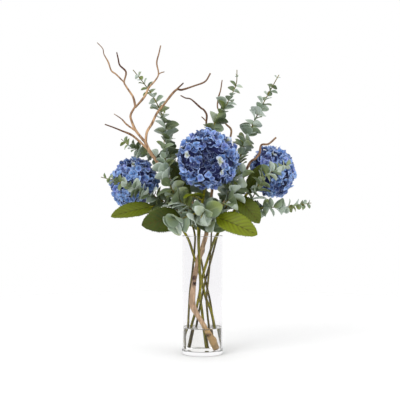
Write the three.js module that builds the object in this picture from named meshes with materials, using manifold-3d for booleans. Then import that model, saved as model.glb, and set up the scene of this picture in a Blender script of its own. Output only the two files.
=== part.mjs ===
// Three blue hydrangeas, eucalyptus and a bare crooked branch in a tall glass cylinder of water.
// Millimetres, +Z up. The origin is the centre of the vase's flat underside. The front faces -Y.
import * as THREE from "three";
import { mergeVertices } from "three/addons/utils/BufferGeometryUtils.js";
import Module from "manifold-3d";

const wasm = await Module();
wasm.setup();

// Driving sizes
const VASE = { radius: 51, wall: 3, floor: 9, height: 294, rim: 1.5, sides: 30 };
const WATER_LEVEL = 65;
const GAP = 0.3; // between two pieces that touch
const BLADE = 0.9; // thickness of a leaf
const DEGREE = Math.PI / 180;

// Colours, roughness and metalness of each kind of piece
const FINISH = {
  glass: { color: 0xf2f6f5, roughness: 0.05, metalness: 0, transparent: true, opacity: 0.3 },
  water: { color: 0xe9efe6, roughness: 0.02, metalness: 0, transparent: true, opacity: 0.35 },
  wood: { color: 0x9a6a42, roughness: 0.8, metalness: 0 },
  petal: { color: 0x5468c4, roughness: 0.65, metalness: 0 },
  flowerLeaf: { color: 0x5c7a1e, roughness: 0.55, metalness: 0 },
  eucalyptus: { color: 0x7f9a7c, roughness: 0.7, metalness: 0 },
};

// A mop head of florets. The axis points from its stem out through the crown.
const HEADS = {
  hydrangea_head_center: {
    center: [13, -58, 481], radii: [76, 70, 73], axis: [0.04, -0.5, 0.86], florets: 40, floret: 20.4,
  },
  hydrangea_head_left: {
    center: [-170, 25, 423], radii: [63, 64, 66], axis: [-0.72, -0.2, 0.62], florets: 34, floret: 19,
  },
  hydrangea_head_right: {
    center: [176, 35, 454], radii: [60, 60, 66], axis: [0.74, -0.16, 0.6], florets: 32, floret: 18.6,
  },
};

// A flower stem runs from its foot in the water to its head. Each leaf has the point on the stem that its
// stalk grows from, the root and tip of its blade, and the way that the blade faces.
const FLOWER_STEMS = {
  hydrangea_stem_center: {
    head: "hydrangea_head_center",
    radius: 3.1,
    route: [
      [8, 12, 13], [3, 2, 68], [-1, -8, 105], [-6, -18, 145], [-5, -24, 182], [-8, -27, 240],
      [-10, -30, 300], [-7, -38, 345], [2, -46, 388], [9, -55, 430],
    ],
    leaves: [
      {
        at: 0.93, root: [2, -62, 388], tip: [-44, -116, 386],
        facing: [-0.3, -0.2, 1], width: 30, droop: 0.9,
      },
      {
        at: 0.88, root: [-32, -22, 394], tip: [-78, -20, 470],
        facing: [-0.3, -1, 0.2], width: 38, droop: 0.4,
      },
    ],
  },
  hydrangea_stem_left: {
    head: "hydrangea_head_left",
    radius: 3.1,
    route: [
      [38, 4, 13], [31, 0, 62], [21, 0, 107], [8, 0, 140], [-6, 2, 195], [-22, 1, 245], [-38, 0, 290],
      [-70, 6, 335], [-108, 14, 378], [-135, 20, 404],
    ],
    leaves: [
      {
        at: 0.9, root: [-124, -34, 366], tip: [-222, -64, 342],
        facing: [0.1, -0.85, 0.6], width: 46, droop: 0.3,
      },
      {
        at: 0.8, root: [-54, -44, 340], tip: [-146, -84, 322],
        facing: [-0.1, -1, 0.25], width: 68, droop: 0.35,
      },
      {
        at: 0.86, root: [-100, 42, 352], tip: [-168, 98, 340],
        facing: [-0.2, 0.4, 1], width: 50, droop: 0.5,
      },
    ],
  },
  hydrangea_stem_right: {
    head: "hydrangea_head_right",
    radius: 3.1,
    route: [
      [-38, 14, 13], [-28, 8, 65], [-18, 4, 100], [-9, -2, 140], [0, -8, 190], [14, -5, 237],
      [33, -7, 290], [62, 2, 330], [102, 18, 385], [143, 29, 429],
    ],
    leaves: [
      {
        at: 0.78, root: [34, -66, 341], tip: [130, -106, 300],
        facing: [0.05, -1, 0.45], width: 60, droop: 0.4,
      },
      {
        at: 0.86, root: [86, -34, 388], tip: [138, -64, 326],
        facing: [0.2, -1, 0.3], width: 54, droop: 0.4,
      },
      {
        at: 0.93, root: [112, -8, 398], tip: [146, -32, 470],
        facing: [-0.2, -1, 0.1], width: 36, droop: 0.3,
      },
      {
        at: 0.84, root: [76, 44, 350], tip: [146, 96, 338],
        facing: [0.2, 0.5, 1], width: 50, droop: 0.5,
      },
    ],
  },
};

// The bare branch: its trunk stands in the water and every limb starts on the one before it.
const BRANCH = {
  trunk: { radii: [7, 6.2, 5], sides: 7, route: [
    [30, -14, 13], [8, -24, 65], [-19, -26, 110], [-24, -24, 131], [-22, -20, 172], [-16, -14, 208],
    [-4, -8, 253], [8, -4, 290], [12, 6, 330],
  ] },
  limbs: [
    { radii: [5, 4.6, 3.6], sides: 6, route: [
      [11, 2, 318], [-22, 6, 368], [-62, -10, 412], [-98, -22, 449], [-112, -22, 477], [-132, -22, 505],
      [-143, -20, 530],
    ] },
    { radii: [3, 2.6, 1.6], sides: 5, route: [
      [-141, -21, 524], [-137, -20, 550], [-124, -22, 573], [-113, -20, 597], [-95, -16, 620],
      [-67, -5, 656], [-51, 0, 658], [-19, 5, 669], [7, 8, 680], [20, 5, 700],
    ] },
    { radii: [2, 1.8, 1.3], sides: 4, route: [[-68, -5, 655], [-57, -12, 664], [-47, -16, 673]] },
    { radii: [3.2, 2.8, 2.4], sides: 5, route: [
      [-142, -20, 526], [-166, -12, 556], [-178, -8, 584], [-178, -6, 597], [-167, -4, 617],
    ] },
    { radii: [2.4, 2, 1.2], sides: 4, route: [
      [-168, -4, 613], [-144, -8, 640], [-134, -10, 661], [-116, -14, 681], [-109, -16, 696],
      [-113, -20, 722], [-108, -24, 743], [-103, -26, 764],
    ] },
    { radii: [1.5, 1.2], sides: 4, route: [[-110, -15, 694], [-103, -10, 699], [-95, -6, 702]] },
    { radii: [2.4, 2.2, 1.3], sides: 4, route: [
      [-167, -4, 615], [-174, 0, 641], [-191, 4, 667], [-196, 6, 679], [-192, 10, 704], [-208, 14, 722],
      [-212, 16, 738], [-216, 18, 755],
    ] },
    { radii: [1.8, 1.5, 1], sides: 4, route: [
      [-195, 6, 676], [-215, 0, 696], [-227, -4, 705], [-235, -6, 727], [-245, -10, 745],
      [-248, -12, 759], [-261, -16, 773],
    ] },
    { radii: [2.6, 2.2, 1.5], sides: 4, route: [
      [-128, -22, 500], [-153, -30, 525], [-174, -38, 542], [-198, -44, 552], [-218, -48, 560],
      [-238, -52, 567],
    ] },
    { radii: [2, 1.7, 1.1], sides: 4, route: [
      [-164, -12, 553], [-188, 0, 570], [-203, 8, 586], [-222, 14, 599],
    ] },
    { radii: [3.8, 3, 1.5], sides: 5, route: [
      [12, 6, 326], [22, 44, 380], [26, 58, 440], [18, 54, 510], [12, 47, 564], [10, 45, 579],
      [11, 44, 599], [4, 42, 612], [-5, 40, 618], [-28, 34, 638], [-43, 28, 641], [-55, 26, 647],
    ] },
    { radii: [1.5, 1.1], sides: 4, route: [[10, 45, 583], [4, 40, 589], [-2, 36, 594]] },
    { radii: [2.8, 2.2, 1.2], sides: 4, route: [
      [26, 58, 438], [56, 68, 500], [75, 68, 558], [60, 68, 580], [46, 70, 608], [39, 70, 624],
      [43, 66, 650], [47, 64, 666], [51, 60, 691],
    ] },
    { radii: [3.6, 3, 2], sides: 5, route: [
      [11, 4, 322], [44, 6, 366], [84, -14, 408], [115, -36, 471], [130, -40, 484], [139, -42, 496],
      [144, -42, 517], [162, -40, 520], [181, -36, 536],
    ] },
  ],
};

// Eucalyptus: each spray is a stem from the water with side shoots. `bare` is how far along the route the
// first leaves are. `leaf` is the length of the leaves, and `spacing` the way from pair to pair, both from
// the foot of the leafy stretch to its tip.
const SPRAYS = {
  eucalyptus_left: { seed: 22, shoots: [
    { radii: [2.5, 2.1, 0.9], bare: 0.45, leaf: [46, 42, 37, 30, 12], spacing: [33, 31, 28, 23], route: [
      [-37, -10, 13], [-36, -4, 57], [-34, 3, 107], [-31, 7, 157], [-26, 11, 195], [-20, 15, 258],
      [-20, 19, 300], [-38, 30, 350], [-67, 30, 408], [-79, 26, 471], [-89, 22, 534], [-99, 18, 589],
      [-119, 15, 634], [-142, 12, 669], [-174, 8, 709],
    ] },
    { radii: [1.6, 0.8], bare: 0.2, leaf: [42, 32, 14], spacing: [30, 24, 18], route: [
      [-32, 26, 333], [-58, 6, 354], [-106, -18, 384], [-152, -52, 407], [-200, -64, 426],
      [-246, -66, 438],
    ] },
    { radii: [1.3, 0.7], bare: 0.3, leaf: [32, 27, 12], spacing: [25, 20, 16], route: [
      [-79, 26, 474], [-126, 6, 492], [-161, 0, 508], [-186, 0, 521], [-203, -2, 535],
    ] },
  ] },
  eucalyptus_right: { seed: 17, shoots: [
    { radii: [2.5, 2.1, 0.9], bare: 0.46, leaf: [46, 42, 37, 30, 12], spacing: [33, 31, 28, 23], route: [
      [-22, 18, 13], [-16, 15, 60], [-9, 13, 100], [1, 12, 150], [10, 11, 190], [24, 11, 240],
      [38, 12, 292], [54, 24, 345], [76, 34, 410], [95, 32, 489], [111, 28, 534], [133, 25, 585],
      [161, 22, 640], [193, 18, 698],
    ] },
    { radii: [1.6, 0.8], bare: 0.24, leaf: [40, 31, 13], spacing: [30, 24, 18], route: [
      [49, 20, 328], [80, 8, 342], [112, -12, 354], [155, -22, 364], [205, -16, 365], [272, 0, 375],
    ] },
    { radii: [1.3, 0.7], bare: 0.3, leaf: [37, 29, 14], spacing: [27, 21, 17], route: [
      [110, -11, 354], [128, -38, 398], [146, -52, 434], [178, -52, 456], [218, -42, 472],
    ] },
  ] },
  eucalyptus_back: { seed: 32, shoots: [
    { radii: [2.5, 2.1, 0.9], bare: 0.46, leaf: [46, 42, 37, 30, 12], spacing: [33, 31, 28, 23], route: [
      [34, 18, 13], [28, 20, 70], [21, 21, 120], [13, 22, 157], [4, 22, 195], [-3, 23, 232],
      [-8, 26, 265], [-6, 36, 312], [2, 62, 372], [6, 80, 450], [18, 64, 530], [25, 42, 567],
      [50, 40, 607], [70, 38, 642], [86, 36, 677], [88, 34, 713],
    ] },
    { radii: [1.5, 0.8], bare: 0.25, leaf: [43, 36, 18], spacing: [30, 26, 20], route: [
      [-4, 44, 334], [-34, 74, 368], [-58, 96, 410], [-76, 108, 456], [-88, 112, 500],
    ] },
    { radii: [1.5, 0.8], bare: 0.25, leaf: [43, 36, 18], spacing: [30, 26, 20], route: [
      [-4, 43, 332], [36, 76, 366], [62, 100, 408], [80, 110, 450], [94, 112, 492],
    ] },
    { radii: [1.5, 0.8], bare: 0.3, leaf: [43, 36, 20], spacing: [30, 22], route: [
      [-6, 38, 318], [0, 72, 332], [4, 104, 336], [8, 138, 326],
    ] },
  ] },
  eucalyptus_front: { seed: 16, shoots: [
    { radii: [2.5, 2.1, 1], bare: 0.76, leaf: [46, 42, 32], spacing: [28, 24], route: [
      [22, 2, 13], [16, -4, 68], [12, -10, 105], [10, -16, 140], [14, -18, 182], [19, -22, 240],
      [22, -26, 296], [23, -44, 328], [14, -72, 350], [4, -98, 356], [-4, -124, 340],
    ] },
    { radii: [1.6, 0.9], bare: 0.24, leaf: [44, 38, 32, 20], spacing: [30, 24], route: [
      [19, -58, 341], [-12, -72, 352], [-46, -72, 374], [-72, -66, 405], [-86, -60, 445],
      [-92, -52, 490], [-94, -46, 528],
    ] },
    { radii: [1.5, 0.9], bare: 0.3, leaf: [44, 40, 28], spacing: [28, 24], route: [
      [7, -88, 355], [-24, -98, 348], [-56, -104, 334], [-84, -106, 314],
    ] },
    { radii: [1.5, 0.9], bare: 0.3, leaf: [41, 30], spacing: [28, 24], route: [
      [18, -62, 344], [44, -70, 364], [70, -68, 392], [90, -60, 424], [102, -50, 462],
    ] },
  ] },
};

// Points and curves

/** The smooth curve through a route's points. */
function curveThrough(route) {
  const points = route.map((point) => new THREE.Vector3(...point));
  return new THREE.CatmullRomCurve3(points, false, "catmullrom", 0.5);
}

/** The value at u, from 0 to 1, of a list of values spread evenly. */
function along(values, u) {
  const place = THREE.MathUtils.clamp(u, 0, 1) * (values.length - 1);
  const low = Math.floor(place);
  return THREE.MathUtils.lerp(values[low], values[low + 1] ?? values[low], place - low);
}

/** A seeded source of even random numbers from -1 to 1. */
function randomSource(seed) {
  let state = seed;
  return () => {
    state = (state * 1664525 + 1013904223) % 4294967296;
    return state / 2147483648 - 1;
  };
}

// Solids

/** A closed solid from points and the corners of its triangles, turned so that its faces point out. */
function solidFrom(points, triangles) {
  const vertProperties = new Float32Array(points.flatMap((point) => point.toArray()));
  const build = (faces) => {
    const triVerts = new Uint32Array(faces.flat());
    return new wasm.Manifold(new wasm.Mesh({ numProp: 3, vertProperties, triVerts }));
  };
  const made = build(triangles);
  return made.volume() > 0 ? made : build(triangles.map(([a, b, c]) => [a, c, b]));
}

/** A closed three.js geometry as a solid. */
function solidOf(geometry) {
  geometry.deleteAttribute("normal");
  geometry.deleteAttribute("uv");
  const merged = mergeVertices(geometry, 1e-3);
  const triVerts = new Uint32Array(merged.index.array);
  return new wasm.Manifold(
    new wasm.Mesh({ numProp: 3, vertProperties: merged.attributes.position.array, triVerts }),
  );
}

/** Several solids joined in one. */
function joined(solids) {
  return solids.reduce((whole, piece) => whole.add(piece));
}

/** The largest body of a solid, without loose scraps. */
function largestBody(solid) {
  return solid.decompose().reduce((best, body) => (body.volume() > best.volume() ? body : best));
}

/** A named mesh of a solid. */
function meshOf(name, solid, finish) {
  const made = largestBody(solid).getMesh();
  const geometry = new THREE.BufferGeometry();
  geometry.setAttribute("position", new THREE.BufferAttribute(made.vertProperties, 3));
  geometry.setIndex(new THREE.BufferAttribute(made.triVerts, 1));
  geometry.computeVertexNormals();
  const mesh = new THREE.Mesh(geometry, new THREE.MeshStandardMaterial(FINISH[finish]));
  mesh.name = name;
  return mesh;
}

/** A round stem along a route, tapering through its radii, grown all round and at both ends by `extra`. */
function stemSolid({ route, radii, sides }, extra = 0) {
  const curve = curveThrough(route);
  const steps = route.length - 1;
  const frames = curve.computeFrenetFrames(steps);
  const points = [];
  const triangles = [];
  for (let step = 0; step <= steps; step += 1) {
    const beyond = { 0: -extra, [steps]: extra }[step] ?? 0;
    const center = curve.getPointAt(step / steps).addScaledVector(frames.tangents[step], beyond);
    const radius = along(radii, step / steps) + extra;
    for (let side = 0; side < sides; side += 1) {
      const turn = (2 * Math.PI * side) / sides;
      points.push(
        center.clone()
          .addScaledVector(frames.normals[step], radius * Math.cos(turn))
          .addScaledVector(frames.binormals[step], radius * Math.sin(turn)),
      );
    }
  }
  for (let step = 0; step < steps; step += 1) {
    for (let side = 0; side < sides; side += 1) {
      const a = step * sides + side;
      const b = step * sides + ((side + 1) % sides);
      triangles.push([a, b, a + sides], [b, b + sides, a + sides]);
    }
  }
  const last = steps * sides;
  for (let side = 1; side < sides - 1; side += 1) {
    triangles.push([0, side + 1, side], [last, last + side, last + side + 1]);
  }
  return solidFrom(points, triangles);
}

// Leaf blades

/** Half width of a eucalyptus leaf, as a share of its width: a rounded blade. */
const roundOutline = (t) => 0.5 * Math.sin(Math.PI * t ** 0.95) ** 0.72;

/** Half width of a hydrangea leaf: a broad ovate blade with a drawn-out tip. */
const ovateOutline = (t) => 0.5 * Math.min(1, 2.45 * t ** 0.6 * (1 - t) ** 0.72);

const TEETH = 6; // saw teeth on each edge of a hydrangea leaf
const SAW_STOPS = Array.from({ length: 2 * TEETH + 1 }, (_, stop) => stop / (2 * TEETH));
const RIB_STOPS = [0, 0.25, 0.5, 0.75, 1];

/** The leaf's own axes: along its rib, across it and up through its face. */
function leafAxes(direction, facing) {
  const rib = direction.clone().normalize();
  const up = facing.clone().addScaledVector(rib, -facing.dot(rib)).normalize();
  return { rib, across: up.clone().cross(rib), up };
}

/**
 * A point of a blade's face at t along it. `side` runs from -1 to 1 across it. The rib bends down through
 * `droop` radians, and the two halves fold up by the slope `fold`.
 */
function bladePoint({ root, axes, length, width, outline, droop, fold }, t, side) {
  const angle = droop * t;
  const half = width * outline(t);
  const lift = fold * half * Math.abs(side);
  const forward = (length * Math.sin(angle)) / droop + lift * Math.sin(angle);
  const rise = (-length * (1 - Math.cos(angle))) / droop + lift * Math.cos(angle);
  return root.clone()
    .addScaledVector(axes.rib, forward)
    .addScaledVector(axes.across, half * side)
    .addScaledVector(axes.up, rise);
}

/** A leaf as a thin closed blade: the same triangles on both faces and a wall round the edge. */
function bladeSolid(leaf, edgeStops, ribStops, toothDepth = 0) {
  const upper = [];
  const add = (t, side) => upper.push(bladePoint(leaf, t, side)) - 1;
  const root = add(0, 0);
  const tip = add(1, 0);
  const line = (stops, side) => [
    { t: 0, index: root },
    ...stops.slice(1, -1).map((t, stop) => ({ t, index: add(t, side * (stop % 2 ? 1 : 1 - toothDepth)) })),
    { t: 1, index: tip },
  ];
  const rib = line(ribStops, 0);
  const edges = [line(edgeStops, 1), line(edgeStops, -1)];
  const faces = [...stripFaces(edges[0], rib), ...stripFaces(edges[1], rib).map(([a, b, c]) => [a, c, b])];
  const count = upper.length;
  const lower = upper.map((point) => point.clone().addScaledVector(leaf.axes.up, -BLADE));
  const loop = [...edges[0], ...edges[1].slice(1, -1).reverse()].map(({ index }) => index);
  const walls = loop.flatMap((a, place) => {
    const b = loop[(place + 1) % loop.length];
    return [[a, b, a + count], [b, b + count, a + count]];
  });
  const under = faces.map(([a, b, c]) => [a + count, c + count, b + count]);
  return solidFrom([...upper, ...lower], [...faces, ...under, ...walls]);
}

/** Triangles between two lines of points that share both ends, ordered by t. */
function stripFaces(edge, rib) {
  const faces = [];
  let i = 0;
  let j = 0;
  while (i < edge.length - 1 || j < rib.length - 1) {
    const onEdge = j === rib.length - 1 || (i < edge.length - 1 && edge[i + 1].t <= rib[j + 1].t);
    const next = onEdge ? edge[i + 1] : rib[j + 1];
    const corners = [edge[i].index, rib[j].index, next.index];
    if (new Set(corners).size === 3) faces.push(corners);
    if (onEdge) i += 1;
    else j += 1;
  }
  return faces;
}

// Room between the pieces

/** The space already taken, as small balls in a grid of cells and large ones in a list. */
class Room {
  static CELL = 14;
  cells = new Map();
  heads = [];

  key(point, [dx, dy, dz] = [0, 0, 0]) {
    const cell = (value, step) => Math.floor(value / Room.CELL) + step;
    return `${cell(point.x, dx)},${cell(point.y, dy)},${cell(point.z, dz)}`;
  }

  /** Takes a ball at each point. */
  take(points, radius, owner) {
    for (const point of points) {
      const key = this.key(point);
      if (!this.cells.has(key)) this.cells.set(key, []);
      this.cells.get(key).push({ point, radius, owner });
    }
  }

  /** Whether balls of a radius at these points are clear. They may come nearer to their owner's stems. */
  isFree(points, radius, owner) {
    return points.every((point) => {
      if (this.heads.some((head) => head.center.distanceTo(point) < head.radius + radius)) return false;
      const aside = Math.hypot(point.x, point.y) - VASE.radius;
      if (aside < VASE_CLEARANCE && point.z < VASE.height + VASE_CLEARANCE) return false;
      for (const step of NEIGHBOURS) {
        for (const ball of this.cells.get(this.key(point, step)) ?? []) {
          const reach = ball.owner === owner ? OWN_REACH : radius;
          if (ball.point.distanceTo(point) < ball.radius + reach) return false;
        }
      }
      return true;
    });
  }
}
const STEPS = [-1, 0, 1];
const NEIGHBOURS = STEPS.flatMap((dx) => STEPS.flatMap((dy) => STEPS.map((dz) => [dx, dy, dz])));

const SAMPLE = 4; // spacing of the points that stand for a blade or a stem
const BLADE_REACH = 2; // half the clearance between two blades
const STEM_CLEARANCE = 0.9; // kept round a stem
const OWN_REACH = -0.4; // a leaf comes nearer to the stem that it grows from
const VASE_CLEARANCE = 3; // kept round the vase

/** Points all over a stretch of a blade, for finding what it would meet. */
function bladeSamples(leaf, from, to = 1) {
  const points = [];
  const rows = Math.ceil(leaf.length / SAMPLE);
  for (let row = Math.ceil(rows * from); row <= rows * to; row += 1) {
    const t = row / rows;
    const columns = Math.ceil((2 * leaf.width * leaf.outline(t)) / SAMPLE) + 1;
    for (let column = 0; column <= columns; column += 1) {
      points.push(bladePoint(leaf, t, (2 * column) / columns - 1));
    }
  }
  return points;
}

/** Takes the room that a stem fills. */
function takeStem(room, { route, radii }, owner) {
  const curve = curveThrough(route);
  const count = Math.ceil(curve.getLength() / SAMPLE);
  for (let step = 0; step <= count; step += 1) {
    room.take([curve.getPointAt(step / count)], along(radii, step / count) + STEM_CLEARANCE, owner);
  }
}

// The vase and its water

/** A solid turned about Z from its outline of radii and heights. */
function turnedSolid(outline, sides) {
  const profile = outline.map(([radius, height]) => new THREE.Vector2(radius, height));
  return solidOf(new THREE.LatheGeometry(profile, sides).rotateX(Math.PI / 2));
}

/** A straight glass cylinder with a thick floor and a rounded rim. */
function vaseSolid() {
  const { radius, wall, floor, height, rim, sides } = VASE;
  const inner = radius - wall;
  return turnedSolid([
    [0, 0], [radius - 2, 0], [radius, 2], [radius, height - rim], [radius - rim, height],
    [inner, height - rim], [inner, floor + 3], [inner - 3, floor], [0, floor],
  ], sides);
}

/** The water, with a plain hole for each stem that stands in it. */
function waterSolid(stems) {
  const radius = VASE.radius - VASE.wall - GAP;
  const bottom = VASE.floor + GAP;
  const water = turnedSolid([
    [0, bottom], [radius - 3, bottom], [radius, bottom + 3], [radius, WATER_LEVEL], [0, WATER_LEVEL],
  ], VASE.sides);
  return stems.reduce((rest, stem) => rest.subtract(stemSolid(stem, GAP)), water);
}

// Hydrangeas

/** Unit vectors spread evenly over a ball, leaving out a cap round the far end of the axis. */
function spreadDirections(count, axis, openAngle) {
  const kept = (1 + Math.cos(openAngle)) / 2;
  const turn = new THREE.Quaternion().setFromUnitVectors(new THREE.Vector3(0, 0, 1), axis);
  return Array.from({ length: count }, (_, place) => {
    const height = 1 - (2 * kept * (place + 0.5)) / count;
    const ring = Math.sqrt(1 - height * height);
    const angle = place * Math.PI * (3 - Math.sqrt(5));
    return new THREE.Vector3(ring * Math.cos(angle), ring * Math.sin(angle), height).applyQuaternion(turn);
  });
}

// A floret's sepals reach out to a tip and meet at a notch. Both say how far out and how far up they are,
// as shares of the floret's size.
const FLORET = { tip: [1.03, 0.03], notch: [0.64, -0.1], throat: -0.2 };

/** One floret: four sepals that open like a funnel from a root sunk in the head. */
function floretSolid(center, outward, size, spin, rise) {
  const axes = leafAxes(new THREE.Vector3(0.31, 0.22, 0.93).cross(outward), outward);
  const points = [
    center.clone().addScaledVector(outward, rise + FLORET.throat * size),
    center.clone().addScaledVector(outward, rise - 0.85 * size),
  ];
  for (let corner = 0; corner < 8; corner += 1) {
    const angle = spin + (corner * Math.PI) / 4;
    const [reach, lift] = corner % 2 ? FLORET.notch : FLORET.tip;
    points.push(
      center.clone()
        .addScaledVector(axes.rib, size * reach * Math.cos(angle))
        .addScaledVector(axes.across, size * reach * Math.sin(angle))
        .addScaledVector(outward, rise + size * lift),
    );
  }
  const triangles = [];
  for (let corner = 0; corner < 8; corner += 1) {
    const a = 2 + corner;
    const b = 2 + ((corner + 1) % 8);
    triangles.push([0, a, b], [1, b, a]);
  }
  return solidFrom(points, triangles);
}

/** A head of florets round a smaller core, with a socket for its stem. */
function headSolid(head, stem) {
  const center = new THREE.Vector3(...head.center);
  const axis = new THREE.Vector3(...head.axis).normalize();
  const depth = head.floret * 0.62;
  const core = solidOf(new THREE.SphereGeometry(1, 12, 6)
    .scale(...head.radii.map((radius) => radius - depth))
    .translate(...head.center));
  const florets = spreadDirections(head.florets, axis, 48 * DEGREE).map((direction, place) => {
    const [a, b, c] = head.radii;
    const surface = new THREE.Vector3(direction.x * a, direction.y * b, direction.z * c);
    const outward = new THREE.Vector3(direction.x / a, direction.y / b, direction.z / c).normalize();
    const rise = -1.5 * (place % 3);
    return floretSolid(center.clone().add(surface), outward, head.floret, place * 1.7, rise);
  });
  return joined([core, ...florets]).subtract(stemSolid(stem, GAP));
}

/** The stem of a head, ending in its socket. */
function flowerStem({ route, radius }) {
  return { route, radii: [radius, radius * 0.95, radius * 0.85], sides: 7 };
}

/** The blade of one hydrangea leaf. */
function flowerLeaf({ root, tip, facing, width, droop }) {
  const start = new THREE.Vector3(...root);
  const chord = new THREE.Vector3(...tip).sub(start);
  const axes = leafAxes(chord, new THREE.Vector3(...facing));
  axes.rib.applyAxisAngle(axes.across, -droop / 2);
  axes.up.applyAxisAngle(axes.across, -droop / 2);
  const length = (chord.length() * droop) / (2 * Math.sin(droop / 2));
  return { root: start, axes, length, width, outline: ovateOutline, droop, fold: 0.22 };
}

/** The stalk from the stem to a leaf's blade. */
function leafStalk(stem, { at }, leaf) {
  const from = curveThrough(stem.route).getPointAt(at);
  const into = leaf.root.clone().addScaledVector(leaf.axes.rib, 7);
  const middle = from.clone().lerp(leaf.root, 0.55);
  middle.z += 3;
  const route = [from, middle, leaf.root, into].map((point) => point.toArray());
  return { route, radii: [1.9, 1.5, 1.2], sides: 4 };
}

/** A flower stem with its stalked leaves. */
function leafyStemSolid(plan, room, owner) {
  const stem = flowerStem(plan);
  const pieces = [stemSolid(stem)];
  for (const leafPlan of plan.leaves) {
    const leaf = flowerLeaf(leafPlan);
    const stalk = leafStalk(stem, leafPlan, leaf);
    takeStem(room, stalk, owner);
    room.take(bladeSamples(leaf, 0), BLADE_REACH, owner);
    pieces.push(stemSolid(stalk), bladeSolid(leaf, SAW_STOPS, RIB_STOPS, 0.1));
  }
  return joined(pieces);
}

// Eucalyptus

// How a leaf that would meet something is turned about its stem, raised and shrunk, in the order tried
const TRIES = [
  [0, 0, 1], [25, 0, 1], [-25, 0, 1], [0, 18, 0.92], [40, 5, 0.9], [-40, 5, 0.9],
  [15, -20, 0.85], [-15, 28, 0.8], [45, 20, 0.7], [-45, 20, 0.7], [0, 32, 0.6],
];
const STEEPEST = 1.15; // lift of a leaf that nearly lies along its stem
const LEAST_ROLL = 0.4; // least turn of a leaf about its rib
const STRETCH = 36; // length of one straight stretch of a bare stem
const LEAF_BASE = 0.8; // half the length of stem that a pair of leaves grows from
const FRAMES = 60; // frames worked out along each stem

/** A shoot's curve with its frames, which don't twist. */
function shootLine({ route }) {
  const curve = curveThrough(route);
  return { curve, frames: curve.computeFrenetFrames(FRAMES), length: curve.getLength() };
}

/** The centre of a shoot at u, its direction there and the direction across it at an angle. */
function crossing({ curve, frames }, u, angle) {
  const center = curve.getPointAt(u);
  const tangent = curve.getTangentAt(u);
  const nearest = frames.normals[Math.round(u * FRAMES)];
  const normal = nearest.clone().addScaledVector(tangent, -nearest.dot(tangent)).normalize();
  const outward = normal.applyAxisAngle(tangent, angle);
  return { center, tangent, outward };
}

/**
 * One leaf that grows from a shoot at u: `spin` turns it round the shoot, `lift` leans it to the tip and
 * `roll` turns it about its own rib.
 */
function sprayLeaf(line, u, { spin, lift, roll, length }) {
  const { center, tangent, outward } = crossing(line, u, spin);
  const direction = outward.multiplyScalar(Math.cos(lift)).addScaledVector(tangent, Math.sin(lift));
  const axes = leafAxes(direction, tangent);
  axes.across.applyAxisAngle(axes.rib, roll);
  axes.up.applyAxisAngle(axes.rib, roll);
  const width = length * THREE.MathUtils.mapLinear(length, 10, 42, 0.6, 0.86);
  return { root: center, axes, length, width, outline: roundOutline, droop: 0.6, fold: 0.3 };
}

/** The pairs of leaves of one shoot, which stand crosswise, each leaf turned clear of what is there. */
function shootPairs(line, shoot, random, room, owner) {
  const pairs = [];
  let place = shoot.bare * line.length;
  let spin = Math.PI * random();
  while (place < line.length - 3) {
    const u = place / line.length;
    const share = (u - shoot.bare) / (1 - shoot.bare);
    const leaves = [0, Math.PI].map((half) => {
      const length = along(shoot.leaf, share) * (1 + 0.14 * random());
      const lift = 0.7 + 0.4 * random();
      const turn = random();
      const roll = 0.45 * turn + (turn < 0 ? -LEAST_ROLL : LEAST_ROLL);
      const choices = TRIES.map(([swing, raise, scale]) => sprayLeaf(line, u, {
        spin: spin + half + swing * DEGREE,
        lift: Math.min(lift + raise * DEGREE, STEEPEST),
        roll,
        length: length * scale,
      }));
      const leaf = choices.find((choice) => room.isFree(bladeSamples(choice, 0.2), BLADE_REACH, owner));
      if (leaf) room.take(bladeSamples(leaf, 0.25), BLADE_REACH, `${owner} leaf`);
      return leaf;
    });
    for (const leaf of leaves) {
      if (leaf) room.take(bladeSamples(leaf, 0.1, 0.25), BLADE_REACH, `${owner} leaf`);
    }
    pairs.push({ place, spin, leaves });
    place += along(shoot.spacing, share);
    spin += Math.PI / 2 + 0.3 * random();
  }
  return pairs;
}

/**
 * Adds a leaf to a shell in place of one side of a stem. `rim` holds the corners of that side: the two
 * nearer the tip of the stem, then the two below them, each from the leaf's left to its right.
 */
function growLeaf({ points, triangles }, leaf, [[upperLeft, upperRight], [lowerLeft, lowerRight]]) {
  const stops = leaf.length > 26 ? [0.22, 0.55, 0.86] : [0.3, 0.72];
  const outline = [
    ...stops.map((t) => bladePoint(leaf, t, 1)),
    bladePoint(leaf, 1, 0),
    ...stops.toReversed().map((t) => bladePoint(leaf, t, -1)),
  ];
  const middle = bladePoint(leaf, 0.45, 0);
  const addFace = (left, right, sink) => {
    const place = (point) => points.push(point.clone().addScaledVector(leaf.axes.up, -sink)) - 1;
    return { center: place(middle), ring: [left, ...outline.map(place), right] };
  };
  const upper = addFace(upperLeft, upperRight, 0);
  const lower = addFace(lowerLeft, lowerRight, BLADE);
  upper.ring.forEach((a, corner) => {
    const last = corner === upper.ring.length - 1;
    const b = upper.ring[last ? 0 : corner + 1];
    const c = lower.ring[corner];
    const d = lower.ring[last ? 0 : corner + 1];
    triangles.push([upper.center, b, a], [lower.center, c, d]);
    if (!last) triangles.push([a, b, d], [a, d, c]);
  });
}

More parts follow.
